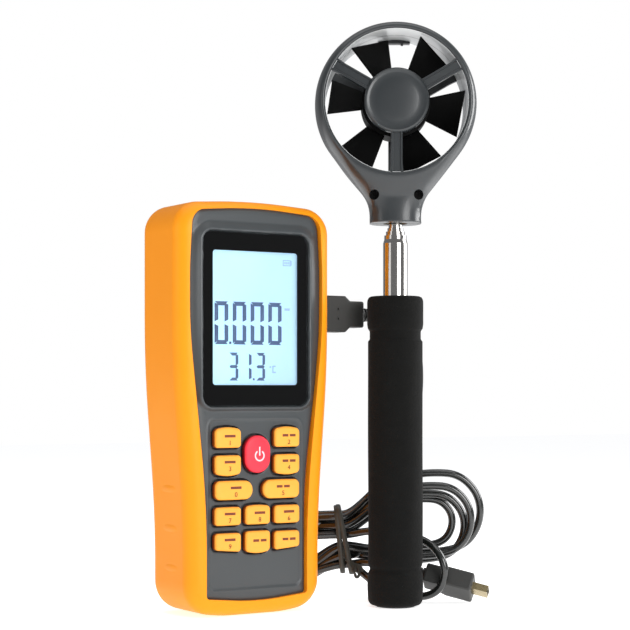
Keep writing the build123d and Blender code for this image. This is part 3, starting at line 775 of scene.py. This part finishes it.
@dataclass
class KeyShape:
    """One key's outline: a rounded rectangle whose top or bottom edge may bow, or slope."""

    node: str
    column: float
    row: float
    number: str = ""
    legend: Legend = Legend.BAR
    w: float = 11.6
    h: float = 7.2
    left: float = 1.5
    right: float = 1.5
    bow: tuple[float, float] = (0.0, 0.0)
    foot: tuple[float, float] = (0.0, 0.0)
    pitch: tuple[float, float] = (13.4, 10.1)
    first_z: float = 69.7

    @property
    def centre(self) -> tuple[float, float]:
        """The key's middle, x and z."""
        return self.column * self.pitch[0], self.first_z - self.row * self.pitch[1]

    def outline(self, inset: float, count: int = 120) -> tuple[np.ndarray, np.ndarray]:
        """The outline drawn in by inset: a corner radius carried round a smaller rectangle.

        Args:
            inset: how far inside the edge, in mm; negative grows it.
            count: how many points.
        Returns:
            x and z of the points about the meter's centre.
        """
        t = np.linspace(0, 2 * np.pi, count, endpoint=False) + 0.01
        c, s = np.cos(t), np.sin(t)
        radius = np.maximum(np.where(c < 0, self.left, self.right) - inset, 0.25)
        w, h = self.w / 2 - inset, self.h / 2 - inset
        x = np.clip(5 * c, -1, 1) * np.maximum(w - radius, 0) + radius * c
        z = np.clip(5 * s, -1, 1) * np.maximum(h - radius, 0) + radius * s
        share = np.clip(x / w, -1, 1)
        up, down = np.clip(z / h, 0, 1), np.clip(-z / h, 0, 1)
        fade = min(1.0, 1 - inset / (self.h / 2))
        z = z + fade * (up * self.bow[0] - down * self.bow[1]) * (1 - share ** 2)
        z = z - fade * down * (self.foot[0] * (1 - share) / 2 + self.foot[1] * (1 + share) / 2)
        return x + self.centre[0], z + self.centre[1]

    def distance(self, x: np.ndarray, z: np.ndarray) -> np.ndarray:
        """Signed distance to the outline, negative inside: that of a rounded box after the bow is undone."""
        px, pz = x - self.centre[0], z - self.centre[1]
        share = np.clip(px / (self.w / 2), -1, 1)
        rise = np.where(pz > 0, self.bow[0] * (1 - share ** 2), -self.bow[1] * (1 - share ** 2))
        slope = self.foot[0] * (1 - share) / 2 + self.foot[1] * (1 + share) / 2
        pz = pz - rise + np.where(pz < 0, slope, 0)
        return rounded_box(px, pz, self.w / 2, self.h / 2, np.where(px < 0, self.left, self.right))


def rounded_box(x: np.ndarray, z: np.ndarray, w: float, h: float, r: np.ndarray | float) -> np.ndarray:
    """Signed distance to a rounded rectangle about the origin with half sizes w and h."""
    qx, qz = np.abs(x) - w + r, np.abs(z) - h + r
    return np.hypot(np.maximum(qx, 0), np.maximum(qz, 0)) + np.minimum(np.maximum(qx, qz), 0) - r


KEYS = (
    KeyShape("key_hold", -1, 0, "1", bow=(0.9, 0.0)),
    KeyShape("key_extremes", 1, 0, "2", Legend.PAIR, bow=(0.9, 0.0)),
    KeyShape("key_unit", -1, 1, "3", bow=(0.0, 0.9)),
    KeyShape("key_flow", 1, 1, "4", Legend.PAIR, bow=(0.0, 0.9)),
    KeyShape("key_light", -0.8, 2, "0", w=16.8, h=7.5, left=2.4, right=3.6),
    KeyShape("key_scale", 0.8, 2, "5", Legend.PAIR, w=16.8, h=7.5, left=3.6, right=2.4),
    KeyShape("key_read", -1, 3, "7"),
    KeyShape("key_setup", 0, 3, "8", w=11.2, bow=(0.5, 0.0)),
    KeyShape("key_record", 1, 3, "6"),
    KeyShape("key_start", -1, 4, "9", h=7.0, foot=(-0.5, 0.5)),
    KeyShape("key_sample", 0, 4, "", Legend.PAIR, w=11.2, h=7.9, bow=(0.0, 0.9)),
    KeyShape("key_enter", 1, 4, "", Legend.PAIR, h=7.0, foot=(0.5, -0.5)),
    KeyShape("key_power", 0, 0.62, "", Legend.POWER, h=14.8, left=5.7, right=5.7),
)


@dataclass
class Meter:
    """The hand meter: shell, front panel, display, keys and what is inside."""

    place: Place
    front: float = -16.2
    lens_z: float = 116.5
    lens: tuple[float, float] = (47.6, 68.2)
    glass_front: float = -13.6
    crown: float = -17.75
    well_floor: float = -13.65
    panel_back: float = -13.45
    key_gap: float = 0.4
    legend_shift: float = 0.5

    def build(self) -> None:
        """Make every piece of the meter."""
        ORANGE_ABS.dress(*(NODES[n] for n in ("case_front", "case_rear", "battery_door")))
        show(self.panel(), "root", "grey_panel", PANEL_ABS, "front_panel")
        self.display()
        self.keys()
        self.inside()
        show(self.grip_ribs(), "root", "orange_shell", ORANGE_ABS)

    @staticmethod
    def panel_half(z: np.ndarray) -> np.ndarray:
        """The panel's half width by height: narrow foot, slow swell, slight draw-in at the top."""
        swell = 22.5 + 7.3 * smooth(36.0, 122.0, 0.62 * z + 0.38 * np.clip(z, 44, 112))
        return swell - 1.3 * smooth(134.0, 161.0, z)

    def panel(self) -> bpy.types.Object:
        """The front panel as a height field on a grid that follows its outline.

        The height is a flat plane that rolls back at its edge, lifts round the display, drops one
        step inside the key field, and sinks at the lens and at each key.
        """
        u, v = np.meshgrid(np.linspace(-1, 1, 176), np.linspace(0, 1, 400), indexing="ij")
        foot = 7.6 - 2.0 * (1 - u ** 2)
        top = 160.3 - 1.7 * u ** 2
        z = foot + (top - foot) * v
        half = self.panel_half(z)
        corner = 7.0
        over = np.clip((z - (158.9 - corner)) / corner, 0, 1)
        half = half - corner * (1 - np.sqrt(1 - 0.92 * over ** 2.6)) * 0.8
        x = u * half
        edge = np.minimum(half - np.abs(x), np.minimum(z - foot, top - z))
        lens = rounded_box(x, z - self.lens_z, self.lens[0] / 2 + 0.15, self.lens[1] / 2 + 0.15, 4.2)
        side = half - 24.4
        rise = 1 - smooth(0.0, 1.0, np.maximum(lens - 0.6, 0) / np.maximum(np.minimum(side, 6.0) - 0.4, 1.0))
        y = self.front + 0.85 - 1.3 * rise
        y = y + 0.3 * (1 - smooth(0.0, 1.0, edge)) + 0.2 * (1 - smooth(0.0, 3.0, edge))
        field_edge = rounded_box(x, z - 43.8, 21.0, 33.2, 3.2)
        y = y + 0.32 * (1 - smooth(-0.45, 0.25, field_edge)) - 0.12 * np.exp(-((field_edge - 0.5) / 0.45) ** 2)
        y = y - 0.14 * np.exp(-((lens - 0.9) / 0.5) ** 2)
        y = np.where(lens < 0.35, y + (-14.7 - y) * (1 - smooth(-0.3, 0.3, lens)), y)
        for key in KEYS:
            gap = key.distance(x, z) - self.key_gap
            y = y + 0.22 * (1 - smooth(0.0, 0.7, gap)) + (self.well_floor - y) * (1 - smooth(-0.1, 0.2, gap))
        front = self.place.on_meter(x, y, z)
        rim = np.concatenate([front[:, :1], front, front[:, -1:]], 1)
        rim = np.concatenate([rim[:1], rim, rim[-1:]], 0)
        back = self.place.on_meter(0.0, self.panel_back, 0.0)[..., 1]
        rim[0, :, 1] = rim[-1, :, 1] = back
        rim[:, 0, 1] = rim[:, -1, 1] = back
        skin = surface("front_panel_skin", rim)
        close_back(skin.data)
        bore(skin, self.window_tool())
        return skin

    def window_tool(self) -> bpy.types.Object:
        """The opening behind the lens: an upright prism with small round corners."""
        t = np.linspace(0, 2 * np.pi, 48, endpoint=False)
        x = np.clip(6 * np.cos(t), -1, 1) * 19.4 + 1.2 * np.cos(t)
        z = np.clip(6 * np.sin(t), -1, 1) * 26.6 + 1.2 * np.sin(t) + 117.0
        rows = self.place.on_meter(x[None, :], np.array([-18.0, -12.0])[:, None], z[None, :])
        return surface("window_tool", rows, (False, True), caps=True)

    def grip_ribs(self) -> bpy.types.Object:
        """Three shallow finger ribs low on each side: a half-cosine swell across and along."""
        parts = []
        for sign in (-1, 1):
            for z0 in (19.0, 34.5, 50.0):
                a, b = np.meshgrid(np.linspace(-1, 1, 14), np.linspace(-1, 1, 18), indexing="ij")
                z, y = z0 + 2.0 * a, -1.5 + 8.0 * b
                lift = 0.26 * (1 - a ** 2) ** 2 * (1 - b ** 2) ** 2
                side = 30.4 + 4.6 * smooth(20.0, 116.0, z) * 0.92
                parts.append(surface("rib", self.place.on_meter(sign * (side - 0.06 + lift), y, z)))
        return joined("side_grip_ribs", parts)

    # -------- display
    def display(self) -> None:
        """Dress the lens, mask and cell, and lay the lit segments on the cell."""
        ClearSheet().dress(NODES["display_lens"])
        LENS_INK.dress(NODES["lens_mask"])
        PaintedGlowCrystal().dress(NODES["lcd_glass"])
        DIFFUSER.dress(NODES["lcd_backlight"])
        dark = []
        for column in range(4):
            dark += self.digit("0", -17.8 + 8.1 * column, 106.6, 6.1, 16.8, 1.65)
        dark.append(self.bar(-11.3, 106.7, -10.3, 107.7))
        for char, x in (("3", -11.3), ("1", -2.4), ("3", 0.9)):
            dark += self.digit(char, x, 92.4, 4.1, 11.0, 1.2)
        dark.append(self.bar(-0.6, 92.5, 0.2, 93.3))
        show(joined("display_segments", dark), "root", "lcd", SEGMENT_INK)
        faint = [self.bar(14.0, 120.4, 16.4, 121.3), self.bar(7.0, 97.4, 7.8, 98.2), self.bar(8.3, 95.4, 9.9, 96.0),
                 self.bar(8.3, 97.8, 9.9, 98.4), self.bar(8.3, 95.9, 8.9, 98.0)]
        faint += [self.bar(13.2, 138.2, 16.9, 138.6), self.bar(13.2, 140.2, 16.9, 140.6),
                  self.bar(13.2, 138.4, 13.6, 140.4), self.bar(16.5, 138.4, 17.3, 140.4)]
        faint += [self.bar(x, 138.9, x + 0.6, 139.9) for x in (13.9, 14.8, 15.7)]
        show(joined("display_icons", faint), "root", "lcd", FAINT_INK)

    def plate(self, x: np.ndarray, z: np.ndarray) -> bpy.types.Object:
        """A thin prism on the cell's face with the outline given, 0.05 mm proud."""
        near, far = self.glass_front - 0.06, self.glass_front - 0.01
        rows = np.stack([self.place.on_meter(x, near, z), self.place.on_meter(x, far, z)])
        return surface("segment", rows, (False, True), caps=True)

    def bar(self, x0: float, z0: float, x1: float, z1: float) -> bpy.types.Object:
        """A rectangular mark."""
        return self.plate(np.array([x0, x1, x1, x0]), np.array([z0, z0, z1, z1]))

    def digit(self, char: str, x: float, z: float, w: float, h: float, stroke: float) -> list[bpy.types.Object]:
        """One seven-segment figure, each segment a bar with mitred ends.

        Args:
            char: the figure.
            x: its left edge, in mm.
            z: its foot.
            w: its width.
            h: its height.
            stroke: the segments' width.
        Returns:
            The lit segments.
        """
        lit = {"0": "abcdef", "1": "ef", "3": "abcdg"}[char]
        half, slack = stroke / 2, 0.16
        places = {"a": (x, z + h - half, x + w, 0), "g": (x, z + h / 2, x + w, 0), "d": (x, z + half, x + w, 0),
                  "f": (x + half, z + h / 2, z + h, 1), "e": (x + half, z, z + h / 2, 1),
                  "b": (x + w - half, z + h / 2, z + h, 1), "c": (x + w - half, z, z + h / 2, 1)}
        made = []
        for name in lit:
            p = places[name]
            if p[3] == 0:
                a, b, mid = p[0] + slack, p[2] - slack, p[1]
                xs = np.array([a, a + half, b - half, b, b - half, a + half])
                zs = np.array([mid, mid - half, mid - half, mid, mid + half, mid + half])
                if name in "ad":
                    out = half if name == "a" else -half
                    xs = np.array([a, b, b - stroke, a + stroke])
                    zs = np.array([mid + out, mid + out, mid - out, mid - out])
            else:
                a, b, mid = p[1] + slack * 2, p[2] - slack * 2, p[0]
                xs = np.array([mid - half, mid + half, mid + half, mid - half])
                cut = stroke * 0.55
                zs = np.array([a + cut * 0.2, a + cut, b - cut, b - cut * 0.2])
            made.append(self.plate(xs, zs))
        return made

    # -------- keys
    def keys(self) -> None:
        """A domed cap for each key, with its printed number and mark riding on it."""
        low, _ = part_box("key_hold")
        crown_y = low.y
        # Each key's second colour is painted shade on its sides.
        orange = SiliconeKey("orange_silicone_key", "#FBA93A", "#9C4306", crown_y)
        red = SiliconeKey("red_silicone_key", "#F02F42", "#8F0F18", crown_y)
        for key in KEYS:
            power = key.legend is Legend.POWER
            body = f"{key.node}_cap"
            cap = self.cap(key, 0.55 if power else 0.3)
            show(cap, body, "key_red" if power else "key_orange", red if power else orange, key.node)
            prints = self.icon(key) if power else self.marks(key)
            mark = joined(f"{key.node}_print", prints)
            show(mark, body, "key_red" if power else "key_orange", ICON_INK if power else LEGEND_INK)

    def cap(self, key: KeyShape, dome: float) -> bpy.types.Object:
        """A key cap: rings of the outline drawn in step by step while the face rises to a low dome.

        Args:
            key: the key's outline.
            dome: how far the middle stands above the shoulder, in mm.
        Returns:
            The cap, closed at its foot and its middle.
        """
        limit = min(key.w, key.h) / 2
        insets = np.array([0.0, 0.0, 0.0, 0.06, 0.2, 0.45, 0.85, 1.4, 2.0, 2.7, 0.97 * limit])
        drops = np.array([2.95, 1.6, 0.9, 0.62, 0.38, 0.2, 0.1, 0.05, 0.02, 0.01, 0.0])
        rings = []
        for inset, drop in zip(insets, drops):
            x, z = key.outline(min(inset, 0.97 * limit))
            swell = 0.0 if drop == drops[0] else 0.8 * dome * (1 - min(inset / limit, 1.0)) ** 2
            rings.append(self.place.on_meter(x, self.crown + drop + swell, z))
        return surface(f"{key.node}_rubber", np.stack(rings), (False, True), caps=True)

    def stamp(self, x: np.ndarray, z: np.ndarray) -> bpy.types.Object:
        """A thin printed shape on a key's face."""
        rows = np.stack([self.place.on_meter(x, self.crown + proud, z) for proud in (-0.035, 0.12)])
        return surface("print", rows, (False, True), caps=True)

    def marks(self, key: KeyShape) -> list[bpy.types.Object]:
        """A plain bar or pair of bars, and the key's number below."""
        cx, cz = key.centre
        widths = {Legend.BAR: ((-2.4, 2.4),), Legend.PAIR: ((-3.0, -0.35), (0.35, 3.0))}[key.legend]
        lift = 1.0 if key.number else 0.2
        made = []
        for a, b in widths:
            x = np.array([a, b, b, a]) + cx + self.legend_shift
            made.append(self.stamp(x, cz + lift + np.array([-0.5, -0.5, 0.5, 0.5])))
        if key.number:
            made.append(self.number(key))
        return made

    def number(self, key: KeyShape) -> bpy.types.Object:
        """The key's number, set in the plain built-in face and laid on the cap."""
        text = bpy.data.curves.new("number", "FONT")
        text.body, text.size, text.align_x, text.extrude = key.number, 2.6 * MM, "CENTER", 0.05 * MM
        holder = bpy.data.objects.new("number", text)
        mesh = bpy.data.meshes.new_from_object(holder)
        bpy.data.objects.remove(holder)
        co = np.array([v.co for v in mesh.vertices]) / MM
        cx, cz = key.centre
        placed = self.place.on_meter(co[:, 0] + cx + self.legend_shift, self.crown - 0.01 - co[:, 2], co[:, 1] + cz - 2.5)
        mesh.vertices.foreach_set("co", placed.ravel())
        finish_mesh(mesh)
        piece = bpy.data.objects.new("number", mesh)
        bpy.context.scene.collection.objects.link(piece)
        return piece

    def icon(self, key: KeyShape) -> list[bpy.types.Object]:
        """The power mark: an open ring, swept as a flat band over 300 degrees, and a short stem."""
        cx, cz = key.centre
        t = np.radians(np.linspace(122, 418, 48))
        radii = np.array([1.65, 1.65, 2.25, 2.25])
        ys = self.crown + np.array([0.12, -0.04, -0.04, 0.12])
        x = cx + 0.4 + np.cos(t)[:, None] * radii
        z = cz - 0.6 + np.sin(t)[:, None] * radii
        ring = surface("ring", self.place.on_meter(x, ys[None, :], z), (False, True), caps=True)
        stem_x = cx + 0.4 + np.array([-0.3, 0.3, 0.3, -0.3])
        stem = self.stamp(stem_x, cz + np.array([-0.6, -0.6, 2.9, 2.9]))
        return [ring, stem]

    # -------- inside
    @staticmethod
    def inside() -> None:
        """Finishes for the board, the battery and the rest of the inner pieces."""
        for finish, names in (
                (BOARD_MASK, ("main_board",)), (CHIP_EPOXY, ("board_chips", "buzzer")),
                (NICKEL, ("key_domes", "meter_socket", "handle_socket")), (BATTERY_SKIN, ("battery_9v",)),
                (SNAP_VINYL, ("battery_snap",)), (SCREW_STEEL, ("case_screws", "head_screws")),
                (GOLD_SHELL, ("plug_meter_shell", "plug_free_shell")),
                (PLUG_PVC, ("plug_meter_body", "plug_meter_relief", "plug_free_body", "plug_free_relief"))):
            finish.dress(*(NODES[n] for n in names))


# ------------------------------------------------------------------ probe
@dataclass
class FanHead:
    """The fan head: two teardrop shells round the duct, each with a hub cap on three struts."""

    place: Place
    centre_z: float = 205.5
    ring: float = 33.0
    duct: float = 29.0
    thick: float = 14.6
    neck: float = 10.55
    neck_foot: float = 156.9
    lean: float = 38.0
    bend: float = 17.0
    hub: float = 13.1
    strut: float = 4.7
    strut_angles: tuple[float, ...] = (-90.0, 30.0, 150.0)
    screw_x: float = 9.0
    screw_z: float = 167.8

    def build(self) -> None:
        """Make both shells with their hubs and dress the vane, shaft, bearings and sensors."""
        for sign, side in ((-1, "front"), (1, "rear")):
            shell = self.shell(f"head_{side}_shell", sign)
            bore(shell, self.rod_tool())
            if sign < 0:
                for x in (-self.screw_x, self.screw_x):
                    bore(shell, self.screw_tool(x))
            show(shell, "head", "head_plastic", HEAD_ABS, f"head_{side}")
            show(self.spider(f"head_{side}_hub", sign), "head", "head_plastic", HEAD_ABS)
            # Painted reflection: a near-white sleeve inside each half of the duct.
            show(self.duct_sleeve(f"duct_wall_{side}", 0.3, self.thick - 1.1, sign), "head", "head_plastic", DUCT_PAINTED_REFLECTION)
        show(self.duct_sleeve("duct_seam", -0.3, 0.3, 1), "head", "head_plastic", CORE_ABS)
        ROTOR_ABS.dress(NODES["vane_rotor"])
        BEARING_STEEL.dress(*(NODES[n] for n in ("bearing_front", "bearing_rear", "rotor_shaft")))
        FERRITE.dress(NODES["rotor_magnet"])
        SENSOR_EPOXY.dress(NODES["flow_sensor"], NODES["temperature_sensor"])

    def contour(self) -> tuple[np.ndarray, np.ndarray]:
        """The head's outline from straight down, up its right side to the top.

        It is the foot, the upright neck, an arc that leans out, the tangent line, then the ring's arc.
        """
        lean = math.radians(self.lean)
        side = np.array([self.ring * math.cos(lean), -self.ring * math.sin(lean)])
        foot = self.neck_foot - self.centre_z
        bend_z = side[1] - (side[0] - self.neck) / math.tan(lean)
        start_z = bend_z - self.bend * math.tan(lean / 2)
        t = np.linspace(0, lean, 16)
        arc_x = self.neck + self.bend * (1 - np.cos(t))
        arc_z = start_z + self.bend * np.sin(t)
        a = np.linspace(-lean, math.pi / 2, 72)
        line = np.linspace(0, 1, 14)[1:-1]
        flank_x = arc_x[-1] + (side[0] - arc_x[-1]) * line
        flank_z = arc_z[-1] + (side[1] - arc_z[-1]) * line
        x = np.concatenate([np.linspace(0, self.neck, 8), np.full(6, self.neck), arc_x, flank_x,
                            self.ring * np.cos(a)])
        z = np.concatenate([np.full(8, foot), np.linspace(foot + 0.25, start_z - 0.6, 6), arc_z, flank_z,
                            self.ring * np.sin(a)])
        return x, z

    def depth(self, x: np.ndarray, z: np.ndarray, r: np.ndarray) -> np.ndarray:
        """Half thickness at a point of the face: full at the ring, falling to a round neck."""
        cx, cz = self.contour()
        half = np.interp(z, cz[8:], cx[8:])
        share = np.clip(np.abs(x) / np.maximum(half, 1.0), 0, 1)
        round_neck = 10.6 * (1 - 0.97 * share ** 2.5) ** 0.4
        flat_neck = 10.9 + 2.0 * smooth(-40.0, -24.0, z) - 2.6 * share ** 4
        low = smooth(-46.0, -33.0, z)
        neck = round_neck * (1 - low) + flat_neck * low
        away = smooth(self.duct + 1.0, self.duct + 9.5, r) * (1 - smooth(-23.5, -14.0, z))
        return self.thick + (neck - self.thick) * away

    def shell(self, name: str, sign: int) -> bpy.types.Object:
        """One half shell: a cross-section carried round the duct, its outer end following the outline.

        The section runs up the duct wall, over a rounded lip, across the face, down an elliptical
        outer round to the parting plane and back to the duct.

        Args:
            name: the object's name.
            sign: -1 for the front half and 1 for the rear.
        Returns:
            The closed shell.
        """
        cx, cz = self.contour()
        x, z = np.concatenate([cx, -cx[-2:0:-1]]), np.concatenate([cz, cz[-2:0:-1]])
        angle, reach = np.arctan2(z, x), np.hypot(x, z)
        on_ring = smooth(math.sin(math.radians(-60)), math.sin(math.radians(-34)), np.sin(angle))
        on_foot = (z < self.neck_foot - self.centre_z + 0.1).astype(float)
        wide = (3.1 * on_ring + 4.0 * (1 - on_ring)) * (1 - on_foot) + 0.5 * on_foot
        tall = (13.0 * on_ring + 5.0 * (1 - on_ring)) * (1 - on_foot) + 0.5 * on_foot
        lip = 0.9
        q = np.linspace(0, np.pi / 2, 13)
        columns = []
        start, end = self.duct + lip, reach - wide
        cos_a, sin_a = np.cos(angle), np.sin(angle)

        def put(r: np.ndarray, drop: np.ndarray, keep: float = 1.0) -> None:
            """Add a column at radius r, dropped from the face, its height times keep."""
            px, pz = r * cos_a, r * sin_a
            height = np.maximum(self.depth(px, pz, r) - drop, 0.0) * keep
            columns.append(self.place.on_probe(px, sign * height, pz + self.centre_z))

        for drop in (40.0, 9.0, 5.0, 2.0):
            put(np.full_like(reach, self.duct), np.full_like(reach, drop))
        for a in q[2::2]:
            put(self.duct + lip * (1 - np.cos(a)) + 0 * reach, lip * (1 - np.sin(a)) + 0 * reach)
        for f in np.linspace(0, 1, 22):
            put(start + (end - start) * f, 0 * reach)
        for a in q[1:]:
            put(end + wide * np.sin(a), tall * (1 - np.cos(a)))
        for keep in (0.7, 0.35, 0.08):
            put(reach, tall, keep)
        put(reach - 0.22, tall, 0.0)
        return surface(name, np.stack(columns, 1), (True, True))

    def duct_sleeve(self, name: str, near: float, far: float, sign: int) -> bpy.types.Object:
        """A sleeve 0.15 mm thick just inside the duct, from near to far of the parting plane: near white it carries
        the painted reflection of the duct wall, and dark it draws the seam.
        """
        angle = np.linspace(0, 2 * np.pi, 160, endpoint=False)[:, None]
        r = np.array([self.duct - 0.02, self.duct - 0.17, self.duct - 0.17, self.duct - 0.02])[None, :]
        y = sign * np.array([near, near, far, far])[None, :]
        return surface(name, self.place.on_probe(r * np.cos(angle), y, r * np.sin(angle) + self.centre_z),
                       (True, True))

    def rod_tool(self) -> bpy.types.Object:
        """The bore up the neck that the rod and its ferrule sit in."""
        t = np.linspace(0, 2 * np.pi, 48, endpoint=False)[None, :]
        z = np.array([self.neck_foot - 3, self.neck_foot + 14])[:, None]
        rows = self.place.on_probe(5.03 * np.cos(t), 5.03 * np.sin(t), z)
        return surface("rod_tool", rows, (False, True), caps=True)

    def screw_tool(self, x: float) -> bpy.types.Object:
        """A screw's counterbore from the front."""
        t = np.linspace(0, 2 * np.pi, 40, endpoint=False)[None, :]
        y = np.array([-20.0, -4.9])[:, None]
        rows = self.place.on_probe(x + 2.0 * np.cos(t), y, self.screw_z + 2.0 * np.sin(t))
        return surface("screw_tool", rows, (False, True), caps=True)

    def spider(self, name: str, sign: int) -> bpy.types.Object:
        """A hub cap, turned from a low dome profile, with three ribbed struts."""
        t = np.linspace(0, 2 * np.pi, 96, endpoint=False)[None, :]
        r = np.array([2.6, self.hub - 0.8, self.hub - 0.1, self.hub, self.hub, self.hub - 0.35, self.hub - 1.0,
                      self.hub - 1.7, self.hub - 2.1, 8.5, 5.5, 2.5])[:, None]
        y = sign * np.array([9.4, 9.4, 9.6, 10.2, 13.6, 14.25, 14.6, 14.45, 14.3, 14.75, 15.0, 15.12])[:, None]
        parts = [surface("cap", self.place.on_probe(r * np.cos(t), y, r * np.sin(t) + self.centre_z),
                         (False, True), caps=True)]
        half, rib = self.strut / 2, 0.75
        across = np.array([-half, -half, -half + 0.15, -half + rib, -half + rib + 0.2, half - rib - 0.2, half - rib,
                           half - 0.15, half, half])
        depth = np.array([10.6, 13.5, 13.85, 13.85, 13.2, 13.2, 13.85, 13.85, 13.5, 10.6])
        along = np.linspace(self.hub - 1.2, self.duct + 1.4, 12)[:, None]
        for degrees in self.strut_angles:
            a = math.radians(degrees)
            flare = 1 + 0.16 * smooth(self.duct - 4.0, self.duct + 1.0, along)
            side = across[None, :] * flare
            x = along * math.cos(a) - side * math.sin(a)
            z = along * math.sin(a) + side * math.cos(a) + self.centre_z
            points = self.place.on_probe(x, sign * depth[None, :], z)
            parts.append(surface("strut", points, (False, True), caps=True))
        return joined(name, parts)


@dataclass
class Handle:
    """The foam grip on its core, and the telescopic rod."""

    place: Place
    radius: float = 11.2
    height: float = 127.0

    def build(self) -> None:
        """Turn the grip, and dress the rod, core, cap and ferrule."""
        grip = show(self.grip(), "root", "black_foam", ClosedCellFoam(), "foam_grip")
        ROD_CHROME.dress(*(NODES[f"rod_tube_{n}"] for n in (1, 2, 3, 4)))
        CORE_ABS.dress(NODES["handle_core"], NODES["handle_end_cap"])
        BRASS.dress(NODES["rod_ferrule"])

    def grip(self) -> bpy.types.Object:
        """The grip: a radius that is a function of height, turned about the rod.

        A bulged ring at each end, a soft groove inside each, and a body that is very slightly uneven.
        """
        z = np.concatenate([np.linspace(0.5, 3.2, 9), np.linspace(3.6, 20.0, 60), np.linspace(21.0, 104.0, 70),
                            np.linspace(105.0, 124.0, 70), np.linspace(124.3, self.height, 9)])
        r = self.radius + 0.25 * np.exp(-((z - 8.5) / 4.0) ** 2) - 0.75 * np.exp(-((z - 15.4) / 1.25) ** 2)
        r = r + 0.32 * smooth(113.2, 116.0, z) - 0.72 * (smooth(108.4, 109.6, z) - smooth(112.6, 114.0, z))
        low, high = np.clip(1 - (z - 0.5) / 2.7, 0, 1), np.clip((z - 124.4) / 2.6, 0, 1)
        r = r - 2.1 * (1 - np.sqrt(1 - low ** 2)) - 1.5 * (1 - np.sqrt(1 - high ** 2))
        t = np.linspace(0, 2 * np.pi, 120, endpoint=False)
        wave = 0.05 * np.sin(3 * t[None, :] + 0.05 * z[:, None])
        wave = wave + 0.04 * np.sin(7 * t[None, :] - 0.11 * z[:, None])
        rr = r[:, None] + wave
        outer = self.place.on_probe(rr * np.cos(t), rr * np.sin(t), z[:, None])
        bore_z = np.array([self.height - 0.05, 0.55])[:, None]
        inner = self.place.on_probe(8.04 * np.cos(t)[None, :], 8.04 * np.sin(t)[None, :], bore_z)
        return surface("foam_grip_sleeve", np.concatenate([outer, inner]), (True, True))


# ------------------------------------------------------------------ build
def main() -> None:
    """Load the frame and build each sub-assembly."""
    logging.basicConfig(level=logging.INFO, format="%(name)s: %(message)s")
    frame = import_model()
    NODES.update(frame["nodes"])
    place = Place.read(frame)
    Studio(place).build()
    Lead(place).build()
    Meter(place).build()
    FanHead(place).build()
    Handle(place).build()


if __name__ == "__main__":
    main()
